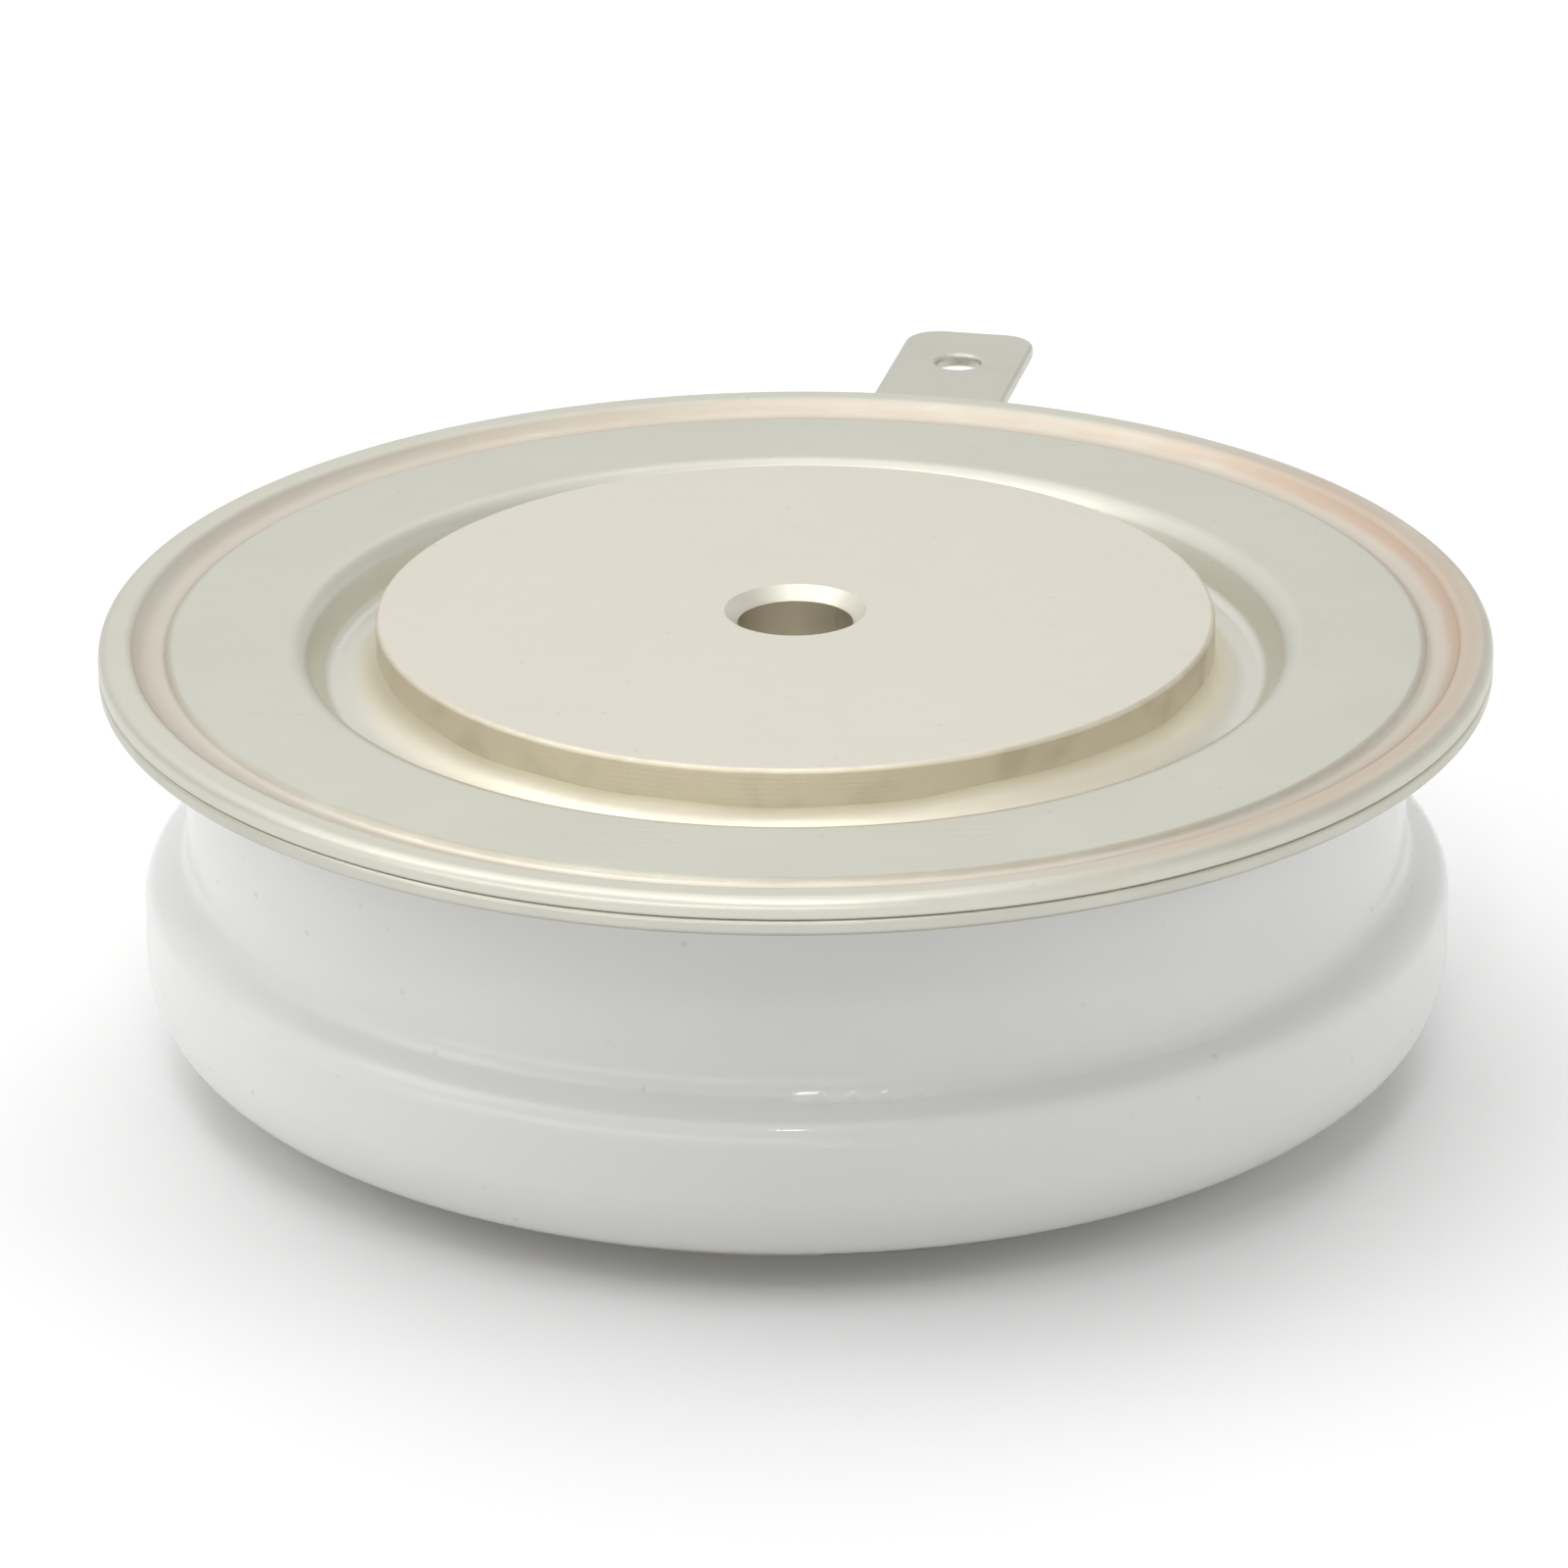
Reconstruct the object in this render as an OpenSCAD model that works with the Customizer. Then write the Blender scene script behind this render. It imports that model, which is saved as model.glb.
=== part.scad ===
// Disc thyristor: a press-pack capsule. A glazed ceramic ring holds a silicon slice
// between two copper poles. A convoluted lid and a brazed weld ring, pressed together
// at the rim, close the cathode side, and a gate lead leaves through the ceramic wall.
// The anode contact face is at z = 0 and the cathode contact face is at the top.
// The rear of the capsule, where the terminals are, is at +Y.

/* [Poles] */
// Diameter of both contact faces
pole_d = 25.3; // [22:0.1:32]
// Round on the edge of each contact face
pole_edge_r = 0.15; // [0.05:0.05:0.3]
// Full height of the anode pole
anode_pole_h = 4.4; // [3.8:0.1:6]
// Full height of the cathode pole
cathode_pole_h = 5.3; // [5:0.1:8]
// Diameter of the centring hole in each contact face
centring_d = 3.5; // [2.5:0.1:5]
// Depth of each centring hole
centring_depth = 2; // [1.2:0.1:2.2]
// Width of the countersink round each centring hole
centring_csk = 0.4; // [0.1:0.05:0.6]
// Solid copper left between the centring hole and the gate bore
pole_web = 0.5; // [0.3:0.1:0.8]

/* [Cathode lid] */
// Thickness of the lid sheet
lid_t = 0.4; // [0.25:0.05:0.6]
// Height of the contact face above the lip of the rim
face_above_lip = 0.45; // [0.3:0.05:0.6]
// Depth of the convolution floor below the contact face
groove_depth = 1.95; // [1.85:0.05:2.4]
// Width of the convolution, from the pole to the flat ring
groove_w = 2.72; // [2.4:0.02:4]
// Lean of the convolution's outer wall from upright, in degrees
groove_lean = 30; // [15:1:35]
// Upper radius of the bend at the foot of the convolution
groove_foot_r = 0.45; // [0.3:0.05:0.6]
// Upper radius of the bend at the top of the convolution
groove_top_r = 0.8; // [0.65:0.05:0.95]
// Width of the flat ring between the convolution and the pinch
annulus_w = 3.53; // [2.4:0.01:5]
// Width of the pressed pinch of the weld
pinch_w = 1.25; // [1:0.05:2]
// Depth of the pinch below the lip
pinch_depth = 0.45; // [0.35:0.05:0.55]
// Lean of the outer wall of the pinch, in degrees
pinch_lean = 40; // [20:1:50]
// Width of the lip outside the pinch
lip_w = 0.85; // [0.6:0.05:1.5]
// Rise of the lip above the flat ring
lip_rise = 0.25; // [0.15:0.05:0.4]
// Round on the inner edge of the lip
lip_crest_r = 0.2; // [0.1:0.05:0.3]
// Round on the outer edge of the lip
lip_edge_r = 0.25; // [0.1:0.05:0.3]

/* [Weld ring] */
// Thickness of the ring brazed to the ceramic
weld_ring_t = 0.5; // [0.4:0.05:0.8]
// Round on the outer edges where the two sheets meet
seam_r = 0.12; // [0.05:0.01:0.2]
// Round on the lower outer edge of the ring
weld_ring_edge_r = 0.2; // [0.1:0.05:0.3]
// Depth of the pinch pressed into the underside
under_pinch_depth = 0.15; // [0.05:0.05:0.25]

/* [Ceramic] */
// Gap between the lid's convolution and the ceramic bore
bore_gap = 0.65; // [0.15:0.05:1]
// Wall of the neck
neck_wall = 2.5; // [1.6:0.1:3.5]
// Step from the neck out to the bulge
shoulder_w = 1.35; // [1:0.05:2.5]
// Slope of the shoulder from upright, in degrees
shoulder_slope = 60; // [40:1:65]
// Radius of the two blends of the shoulder
shoulder_blend_r = 0.8; // [0.6:0.1:1.2]
// Height of the upright part of the bulge and its lower round
bulge_h = 4.2; // [3.5:0.1:5.5]
// Round on the bottom edge of the bulge
bulge_round_r = 2.4; // [1:0.1:2.8]
// Round on the other edges of the ceramic
ceramic_edge_r = 0.3; // [0.1:0.05:0.5]

/* [Anode side] */
// Height of the anode contact face below the flange
anode_stand = 0.8; // [0.5:0.1:1.5]
// Thickness of the anode flange
anode_flange_t = 0.4; // [0.3:0.05:0.6]
// Round on the outer edges of the anode flange
anode_flange_edge_r = 0.15; // [0.05:0.05:0.15]
// Width of the shoulder of the anode pole
anode_shoulder_w = 1.25; // [0.8:0.05:1.6]
// Height of the land that carries the slice
anode_land_h = 1; // [0.6:0.1:1.4]

/* [Silicon stack] */
// Step from the contact face in to the edge of the slice
slice_inset = 0.25; // [0.1:0.05:1]
// Thickness of each silver foil
foil_t = 0.2; // [0.1:0.05:0.3]
// Thickness of the anode molybdenum disc
anode_moly_t = 1.8; // [1.4:0.1:3]
// Thickness of the silicon wafer
wafer_t = 0.9; // [0.7:0.05:1.4]
// Upright part of the wafer's edge below the bevel
wafer_edge_h = 0.3; // [0.1:0.05:0.5]
// Width of the bevel round the wafer
wafer_bevel_w = 0.8; // [0.4:0.05:1]
// Thickness of the cathode molybdenum disc
cathode_moly_t = 1.2; // [1:0.1:2]
// Step from the edge of the slice in to the cathode disc
cathode_moly_inset = 1.4; // [1.3:0.05:2.5]
// Margin of the cathode pole's boss round the cathode disc
boss_margin = 0.45; // [0.1:0.05:0.8]
// Width of the ledge that carries the lid
ledge_w = 0.8; // [0.4:0.05:1.2]
// Thickness of that ledge
ledge_t = 1.4; // [0.8:0.1:1.6]

/* [Edge rings] */
// Radial thickness of the rubber round the wafer's edge
rubber_t = 0.7; // [0.4:0.05:1]
// Overlap of the rubber on the anode disc
rubber_skirt_h = 0.5; // [0.3:0.05:1]
// Height of the rubber above the wafer
rubber_cap_h = 0.45; // [0.3:0.05:0.8]
// Round on the upper edge of the rubber
rubber_round_r = 0.6; // [0.2:0.05:0.65]
// Gap between the rubber and the cathode disc
rubber_gap = 0.2; // [0.1:0.05:0.4]
// Slip between the locating ring and the pieces it centres
ring_slip = 0.1; // [0.05:0.05:0.2]

/* [Terminals] */
// Turn of the auxiliary cathode tab from straight back, in degrees
tab_turn = 12.1; // [0:0.1:25]
// Angle from the auxiliary cathode tab to the gate terminal, in degrees
gate_turn = 25; // [20:1:40]
// Width of both tabs
tab_w = 4.3; // [3.5:0.1:5]
// Reach of both tabs beyond the rim
tab_reach = 8; // [6:0.1:10]
// Diameter of the hole in each tab
tab_hole_d = 1.5; // [1.2:0.1:2]
// Distance from the hole to the end of the tab
tab_hole_inset = 3; // [2:0.1:3.5]
// Round on the free corners of the tabs
tab_corner_r = 1.1; // [0.4:0.1:1.5]
// Round where a tab leaves its root
tab_root_r = 1.2; // [0.5:0.1:1.5]
// Thickness of the gate tab
gate_tab_t = 0.5; // [0.3:0.05:0.8]

/* [Gate lead] */
// Diameter of the gate wire
gate_wire_d = 0.6; // [0.5:0.05:0.8]
// Wall of the insulating sleeve on the wire
sleeve_wall = 0.3; // [0.2:0.05:0.4]
// Clearance of the sleeve in the pole's slot and the insulator
sleeve_clearance = 0.05; // [0.03:0.01:0.1]
// Outer diameter of the tube through the ceramic
gate_tube_d = 2; // [1.8:0.1:2.4]
// Clearance of the wire in the tube
tube_clearance = 0.1; // [0.05:0.01:0.2]
// Reach of the tube into the capsule
gate_tube_inside = 0.8; // [0.4:0.1:1.2]
// Reach of the tube beyond the neck
gate_tube_outside = 3.3; // [3:0.1:4]
// Wall of the barrel crimped on the tube
barrel_wall = 0.5; // [0.3:0.05:0.8]
// Length of the barrel on the tube
barrel_grip = 1.8; // [1:0.1:2]
// Solid end of the barrel beyond the tube
barrel_end = 0.8; // [0.5:0.1:1.5]

/* [Gate contact] */
// Diameter of the gate bore in the cathode pole
gate_bore_d = 4.5; // [4.2:0.1:5.5]
// Clearance of the insulator in its bore
insulator_clearance = 0.05; // [0.03:0.01:0.1]
// Wall of the insulator
insulator_wall = 0.7; // [0.4:0.05:0.75]
// Thickness of the insulator's closed end
insulator_end = 0.3; // [0.2:0.05:0.5]
// Gap between the insulator and the wafer
insulator_lift = 0.2; // [0.1:0.05:0.3]
// Diameter of the pin's head on the wafer
pin_head_d = 2; // [1.6:0.1:2.4]
// Height of the pin's head
pin_head_h = 0.4; // [0.2:0.05:0.6]
// Diameter of the pin's shank
pin_shank_d = 1.2; // [0.8:0.1:1.5]
// Diameter of the pin's collar, which takes the wire
pin_collar_d = 2.6; // [2.4:0.05:2.8]
// Height of the collar above and below the wire
pin_collar_wall = 0.2; // [0.1:0.05:0.25]
// Depth of the wire in the collar
wire_seat = 0.8; // [0.4:0.05:1]
// Length of the stub that guides the spring
pin_stub_h = 0.5; // [0.3:0.05:0.6]
// Thickness of the washer above the spring
spring_seat_t = 0.2; // [0.1:0.05:0.3]
// Diameter of the spring wire
spring_wire_d = 0.25; // [0.2:0.01:0.3]
// Least rise of the spring in one turn
spring_pitch = 0.36; // [0.34:0.02:0.6]
// Clearance between the spring and the insulator's wall
spring_clearance = 0.3; // [0.1:0.05:0.35]

/* [Hidden] */
$fn = 96;

// Length by which a cutting shape passes the face that it opens
over = 1;
// Depth by which a blend passes its slope, so that the two cross cleanly
bite = 0.001;
// Angle by which a blend's sector runs on past the slope
run_on = 8;

// Heights of the stack, from the anode face up
anode_foil_z = anode_pole_h;
anode_moly_z = anode_foil_z + foil_t;
wafer_z = anode_moly_z + anode_moly_t;
wafer_top_z = wafer_z + wafer_t;
cathode_foil_z = wafer_top_z + cathode_moly_t;
cathode_pole_z = cathode_foil_z + foil_t;
capsule_h = cathode_pole_z + cathode_pole_h;

// Heights of the lid, from the cathode face down
lip_z = capsule_h - face_above_lip;
annulus_z = lip_z - lip_rise;
lid_under_z = annulus_z - lid_t;
floor_z = capsule_h - groove_depth;
floor_under_z = floor_z - lid_t;
pinch_z = lip_z - pinch_depth;

// Heights of the ceramic
ceramic_top_z = lid_under_z - weld_ring_t;
ceramic_z = anode_stand + anode_flange_t;

// Radii of the poles and the slice
pole_r = pole_d / 2;
anode_shoulder_r = pole_r + anode_shoulder_w;
ledge_r = pole_r + ledge_w;
slice_r = pole_r - slice_inset;
cathode_moly_r = slice_r - cathode_moly_inset;
boss_r = cathode_moly_r + boss_margin;
rubber_r = slice_r + rubber_t;

// The two bends of the convolution: the middle of each and the rise of the wall between them
wall_dir = [cos(groove_lean), -sin(groove_lean)];
bends_reach = groove_foot_r + groove_top_r - 2 * bite;
wall_rise = annulus_z - groove_top_r - floor_z - groove_foot_r + bends_reach * sin(groove_lean);
top_mid = [pole_r + groove_w, annulus_z - groove_top_r];
foot_mid = [top_mid[0] - bends_reach * wall_dir[0] - wall_rise * tan(groove_lean), floor_z + groove_foot_r];

// Radii of the rim
pinch_r = top_mid[0] + annulus_w;
lip_r = pinch_r + pinch_w;
rim_r = lip_r + lip_w;
crest_mid = [lip_r, lip_z - lip_crest_r];
crest_foot = crest_mid + (lip_crest_r - bite) * [-cos(pinch_lean), sin(pinch_lean)];
pinch_out_r = crest_foot[0] - (crest_foot[1] - pinch_z) * tan(pinch_lean);
pinch_in_r = pinch_r + (annulus_z - pinch_z) * tan(pinch_lean);

// Radii of the ceramic
ceramic_bore_r = top_mid[0] + bore_gap;
neck_r = ceramic_bore_r + neck_wall;
bulge_r = neck_r + shoulder_w;
anode_flange_r = bulge_r - bulge_round_r;

// The two blends of the ceramic's shoulder and the points where the slope meets them
bulge_mid = [bulge_r - shoulder_blend_r, ceramic_z + bulge_h];
slope_dir = [cos(shoulder_slope), sin(shoulder_slope)];
slope_reach = shoulder_blend_r - bite;
slope_low = bulge_mid + slope_reach * slope_dir;
slope_run = shoulder_w - 2 * (shoulder_blend_r - slope_reach * cos(shoulder_slope));
slope_high = slope_low + slope_run * [-1, 1 / tan(shoulder_slope)];
neck_mid = [neck_r + shoulder_blend_r, slope_high[1] + slope_reach * sin(shoulder_slope)];

// Places along the gate lead
sleeve_d = gate_wire_d + 2 * sleeve_wall;
slot_w = sleeve_d + 2 * sleeve_clearance;
gate_z = cathode_pole_z + slot_w / 2;
gate_tube_in_r = ceramic_bore_r - gate_tube_inside;
gate_tube_out_r = neck_r + gate_tube_outside;
barrel_d = gate_tube_d + 2 * barrel_wall;
tab_end_r = rim_r + tab_reach;

// Sizes of the gate contact
gate_bore_h = cathode_pole_h - centring_depth - pole_web;
gate_bore_top_z = cathode_pole_z + gate_bore_h;
insulator_d = gate_bore_d - 2 * insulator_clearance;
insulator_bore_d = insulator_d - 2 * insulator_wall;
insulator_roof_z = gate_bore_top_z - insulator_end;
collar_half_h = gate_wire_d / 2 + pin_collar_wall;
collar_top_z = gate_z + collar_half_h;
spring_top_z = insulator_roof_z - spring_seat_t;
spring_d = insulator_bore_d - 2 * spring_clearance;
spring_h = spring_top_z - collar_top_z;
spring_turns = floor(spring_h / spring_pitch);

// Cutter that rounds the corner at p, where s points out of the section
module corner_cut(p, r, s) {
    translate(p) difference() {
        translate([s[0] > 0 ? -r : 0, s[1] > 0 ? -r : 0]) square(r);
        translate(-r * s) circle(r);
    }
}

// Part of a disc between two angles
module sector(mid, r, from, to) {
    translate(mid) intersection() {
        circle(r);
        polygon([[0, 0], 2 * r * [cos(from), sin(from)], 2 * r * [cos(to), sin(to)]]);
    }
}

// Rectangle of a section from an inner to an outer radius
module band(r_in, r_out, z_low, z_high) {
    translate([r_in, z_low]) square([r_out - r_in, z_high - z_low]);
}

// Plain round disc with an optional hole
module disc(r, z, h, hole_d = 0) {
    translate([0, 0, z]) difference() {
        cylinder(r = r, h = h);
        if (hole_d > 0) translate([0, 0, -over]) cylinder(d = hole_d, h = h + 2 * over);
    }
}

// Turns what is drawn along +Y to the gate lead's direction and height
module at_gate() {
    translate([0, 0, gate_z]) rotate([0, 0, gate_turn - tab_turn]) children();
}

// Round bar along +Y
module gate_bar(d, y_from, y_to) {
    translate([0, y_from, 0]) rotate([-90, 0, 0]) cylinder(d = d, h = y_to - y_from);
}

// Section of a centring hole, with its mouth at the height z_mouth and its depth along dir
module centring_section(z_mouth, dir) {
    hole_r = centring_d / 2;
    polygon([
        [0, z_mouth],
        [hole_r + centring_csk, z_mouth],
        [hole_r, z_mouth + dir * centring_csk],
        [hole_r, z_mouth + dir * centring_depth],
        [0, z_mouth + dir * centring_depth]
    ]);
}

// Plan of a tab along +Y: straight sides, a rounded end and a hole
module tab_plan(y_root, y_end) {
    difference() {
        translate([-tab_w / 2, y_root]) square([tab_w, y_end - y_root]);
        corner_cut([tab_w / 2, y_end], tab_corner_r, [1, 1]);
        corner_cut([-tab_w / 2, y_end], tab_corner_r, [-1, 1]);
        translate([0, y_end - tab_hole_inset]) circle(d = tab_hole_d);
    }
}

// Plan of the round that joins a tab's side to the rim, on the side given by s
module tab_root_plan(s) {
    x_mid = tab_w / 2 + tab_root_r;
    y_mid = sqrt(pow(rim_r + tab_root_r, 2) - pow(x_mid, 2));
    inner = lip_r / (rim_r + tab_root_r);
    scale([s, 1]) difference() {
        polygon([[0, y_mid], [x_mid, y_mid], inner * [x_mid, y_mid], [0, lip_r]]);
        translate([x_mid, y_mid]) circle(tab_root_r);
    }
}

// Glazed alumina ring: a straight neck, a soft shoulder and a rounded bulge
module ceramic_ring() {
    color("whitesmoke") difference() {
        rotate_extrude() difference() {
            union() {
                polygon([
                    [ceramic_bore_r, ceramic_z],
                    [bulge_r, ceramic_z],
                    [bulge_r, bulge_mid[1]],
                    slope_low,
                    slope_high,
                    [neck_r, neck_mid[1]],
                    [neck_r, ceramic_top_z],
                    [ceramic_bore_r, ceramic_top_z]
                ]);
                sector(bulge_mid, shoulder_blend_r, 0, shoulder_slope + run_on);
            }
            sector(neck_mid, shoulder_blend_r, 180, 180 + shoulder_slope + run_on);
            corner_cut([bulge_r, ceramic_z], bulge_round_r, [1, -1]);
            corner_cut([neck_r, ceramic_top_z], ceramic_edge_r, [1, 1]);
            corner_cut([ceramic_bore_r, ceramic_top_z], ceramic_edge_r, [-1, 1]);
            corner_cut([ceramic_bore_r, ceramic_z], ceramic_edge_r, [-1, -1]);
        }
        at_gate() gate_bar(gate_tube_d, gate_tube_in_r, bulge_r + over);
    }
}

// Nickel-plated copper pole with the lid's ledge, the gate bore and the gate slot
module cathode_pole() {
    color("lightgray") difference() {
        rotate_extrude() difference() {
            union() {
                band(0, boss_r, cathode_pole_z, floor_under_z);
                band(0, ledge_r, floor_under_z - ledge_t, floor_under_z);
                band(0, pole_r, floor_under_z, capsule_h);
            }
            corner_cut([pole_r, capsule_h], pole_edge_r, [1, 1]);
            centring_section(capsule_h, -1);
        }
        translate([0, 0, cathode_pole_z - over]) cylinder(d = gate_bore_d, h = gate_bore_h + over);
        at_gate() translate([-slot_w / 2, 0, -slot_w / 2 - over])
            cube([slot_w, ledge_r + over, slot_w + over]);
    }
}

// All that lies below one side of the lid's sheet; drop is 0 for the upper side and lid_t
// for the lower one, and outer is the line of that side from r_out in to the flat ring
module below_lid(drop, r_in, r_out, outer) {
    low_z = floor_under_z - over - drop;
    difference() {
        union() {
            polygon(concat([[r_in, low_z], [r_out, low_z]], outer, [
                [top_mid[0], annulus_z - drop],
                top_mid - (groove_top_r - drop - bite) * wall_dir,
                foot_mid + (groove_foot_r + drop - bite) * wall_dir,
                [foot_mid[0], floor_z - drop],
                [r_in, floor_z - drop]
            ]));
            sector(top_mid, groove_top_r - drop, 90, 180 - groove_lean + run_on);
        }
        sector(foot_mid, groove_foot_r + drop, -90, run_on - groove_lean);
    }
}

// Pressed lid: floor, convolution, flat ring, pinch and lip in one sheet
module cathode_lid() {
    color("gainsboro") rotate_extrude() difference() {
        union() {
            below_lid(0, pole_r, rim_r, [
                [rim_r, lip_z],
                [lip_r, lip_z],
                crest_foot,
                [pinch_out_r, pinch_z],
                [pinch_in_r, pinch_z],
                [pinch_r, annulus_z]
            ]);
            sector(crest_mid, lip_crest_r, 90, 180 - pinch_lean + run_on);
        }
        below_lid(lid_t, pole_r - over, rim_r + over, [[rim_r + over, lid_under_z]]);
        corner_cut([rim_r, lip_z], lip_edge_r, [1, 1]);
        corner_cut([rim_r, lid_under_z], seam_r, [1, -1]);
    }
}

// Ring brazed to the ceramic, with the auxiliary cathode tab in the same sheet
module cathode_weld_ring() {
    color("silver") union() {
        rotate_extrude() difference() {
            band(ceramic_bore_r, rim_r, ceramic_top_z, lid_under_z);
            corner_cut([rim_r, lid_under_z], seam_r, [1, 1]);
            corner_cut([rim_r, ceramic_top_z], weld_ring_edge_r, [1, -1]);
            band(pinch_in_r, pinch_out_r, ceramic_top_z, ceramic_top_z + under_pinch_depth);
        }
        translate([0, 0, ceramic_top_z]) rotate([0, 0, -tab_turn]) linear_extrude(weld_ring_t) {
            tab_plan((lip_r + rim_r) / 2, tab_end_r);
            tab_root_plan(1);
            tab_root_plan(-1);
        }
    }
}

// Nickel-plated copper pole: contact face, shoulder over the flange and land for the slice
module anode_pole() {
    color("lightgray") rotate_extrude() difference() {
        union() {
            band(0, pole_r, 0, ceramic_z);
            band(0, anode_shoulder_r, ceramic_z, anode_pole_h - anode_land_h);
            band(0, slice_r, anode_pole_h - anode_land_h, anode_pole_h);
        }
        corner_cut([pole_r, 0], pole_edge_r, [1, -1]);
        centring_section(0, 1);
    }
}

// Sheet flange brazed under the ceramic and the shoulder of the anode pole
module anode_flange() {
    color("silver") rotate_extrude() difference() {
        band(pole_r, anode_flange_r, anode_stand, ceramic_z);
        corner_cut([anode_flange_r, anode_stand], anode_flange_edge_r, [1, -1]);
        corner_cut([anode_flange_r, ceramic_z], anode_flange_edge_r, [1, 1]);
    }
}

module anode_foil() {
    color("white") disc(slice_r, anode_foil_z, foil_t);
}

module anode_moly_disc() {
    color("dimgray") disc(slice_r, anode_moly_z, anode_moly_t);
}

// Silicon wafer with a bevelled edge
module silicon_wafer() {
    color("slategray") rotate_extrude() polygon([
        [0, wafer_z],
        [slice_r, wafer_z],
        [slice_r, wafer_z + wafer_edge_h],
        [slice_r - wafer_bevel_w, wafer_top_z],
        [0, wafer_top_z]
    ]);
}

// Silicone rubber moulded over the wafer's bevel
module edge_rubber() {
    rubber_in_r = cathode_moly_r + rubber_gap;
    rubber_top_z = wafer_top_z + rubber_cap_h;
    color("firebrick") rotate_extrude() difference() {
        polygon([
            [slice_r, wafer_z - rubber_skirt_h],
            [rubber_r, wafer_z - rubber_skirt_h],
            [rubber_r, rubber_top_z],
            [rubber_in_r, rubber_top_z],
            [rubber_in_r, wafer_top_z],
            [slice_r - wafer_bevel_w, wafer_top_z],
            [slice_r, wafer_z + wafer_edge_h]
        ]);
        corner_cut([rubber_r, rubber_top_z], rubber_round_r, [1, 1]);
    }
}

// Stepped ring that centres the slice in the ceramic and sits on the anode pole's shoulder
module locating_ring() {
    step_z = wafer_z - rubber_skirt_h - ring_slip;
    color("ivory") rotate_extrude() {
        band(slice_r + ring_slip, ceramic_bore_r - ring_slip, anode_pole_h - anode_land_h, step_z);
        band(rubber_r + ring_slip, ceramic_bore_r - ring_slip, step_z, wafer_top_z + rubber_cap_h);
    }
}

module cathode_moly_disc() {
    color("dimgray") disc(cathode_moly_r, wafer_top_z, cathode_moly_t, gate_bore_d);
}

module cathode_foil() {
    color("white") disc(cathode_moly_r, cathode_foil_z, foil_t, gate_bore_d);
}

// Tube brazed through the ceramic's neck
module gate_tube() {
    color("silver") at_gate() difference() {
        gate_bar(gate_tube_d, gate_tube_in_r, gate_tube_out_r);
        gate_bar(gate_wire_d + 2 * tube_clearance, gate_tube_in_r - over, gate_tube_out_r + over);
    }
}

// Gate terminal: a flat tab with a barrel crimped on the tube
module gate_tab() {
    color("silver") at_gate() difference() {
        union() {
            gate_bar(barrel_d, gate_tube_out_r - barrel_grip, gate_tube_out_r + barrel_end);
            translate([0, 0, -gate_tab_t / 2]) linear_extrude(gate_tab_t)
                tab_plan(gate_tube_out_r, tab_end_r);
        }
        gate_bar(gate_tube_d, gate_tube_out_r - barrel_grip - over, gate_tube_out_r);
    }
}

module gate_wire() {
    color("silver") at_gate()
        gate_bar(gate_wire_d, pin_collar_d / 2 - wire_seat, gate_tube_out_r);
}

// Insulating sleeve from the pin's collar to the tube
module gate_sleeve() {
    color("ivory") at_gate() difference() {
        gate_bar(sleeve_d, pin_collar_d / 2, gate_tube_in_r);
        gate_bar(gate_wire_d, 0, gate_tube_in_r + over);
    }
}

// Sprung pin that touches the middle of the wafer
module gate_contact_pin() {
    collar_z = gate_z - collar_half_h;
    color("gold") difference() {
        rotate_extrude() {
            band(0, pin_head_d / 2, wafer_top_z, wafer_top_z + pin_head_h);
            band(0, pin_shank_d / 2, wafer_top_z + pin_head_h, collar_z);
            band(0, pin_collar_d / 2, collar_z, collar_top_z);
            band(0, pin_shank_d / 2, collar_top_z, collar_top_z + pin_stub_h);
        }
        at_gate() gate_bar(gate_wire_d, pin_collar_d / 2 - wire_seat, pin_collar_d);
    }
}

// Cup that keeps the gate contact off the pole
module gate_insulator() {
    insulator_z = wafer_top_z + insulator_lift;
    color("white") difference() {
        disc(insulator_d / 2, insulator_z, gate_bore_top_z - insulator_z);
        disc(insulator_bore_d / 2, insulator_z - over, insulator_roof_z - insulator_z + over);
        at_gate() gate_bar(slot_w, 0, gate_bore_d);
    }
}

// Point on the spring's wire: t runs along the helix and a runs round the wire
function spring_point(t, a) =
    let (r = (spring_d - spring_wire_d) / 2 + cos(a) * spring_wire_d / 2)
    [
        r * cos(360 * spring_turns * t),
        r * sin(360 * spring_turns * t),
        collar_top_z + spring_wire_d / 2 + t * (spring_h - spring_wire_d) + sin(a) * spring_wire_d / 2
    ];

// Coil spring between the collar and its washer
module gate_spring() {
    sides = 8;
    rings_per_turn = 20;
    rings = rings_per_turn * spring_turns;
    color("darkgray") polyhedron(
        points = [for (i = [0 : rings]) for (j = [0 : sides - 1]) spring_point(i / rings, 360 * j / sides)],
        faces = concat(
            [[for (j = [0 : sides - 1]) j]],
            [for (i = [0 : rings - 1]) for (j = [0 : sides - 1]) [
                i * sides + j,
                (i + 1) * sides + j,
                (i + 1) * sides + (j + 1) % sides,
                i * sides + (j + 1) % sides
            ]],
            [[for (j = [sides - 1 : -1 : 0]) rings * sides + j]]
        )
    );
}

module gate_spring_seat() {
    color("tan") disc(spring_d / 2, spring_top_z, spring_seat_t);
}

ceramic_ring();
cathode_pole();
cathode_lid();
cathode_weld_ring();
anode_pole();
anode_flange();
anode_foil();
anode_moly_disc();
silicon_wafer();
edge_rubber();
locating_ring();
cathode_moly_disc();
cathode_foil();
gate_tube();
gate_tab();
gate_wire();
gate_sleeve();
gate_contact_pin();
gate_insulator();
gate_spring();
gate_spring_seat();
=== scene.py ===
"""Looks of a disc thyristor capsule: finishes for its solids, braze fillets, stage and camera."""

import math

import bpy
from mathutils import Matrix, Vector


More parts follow.
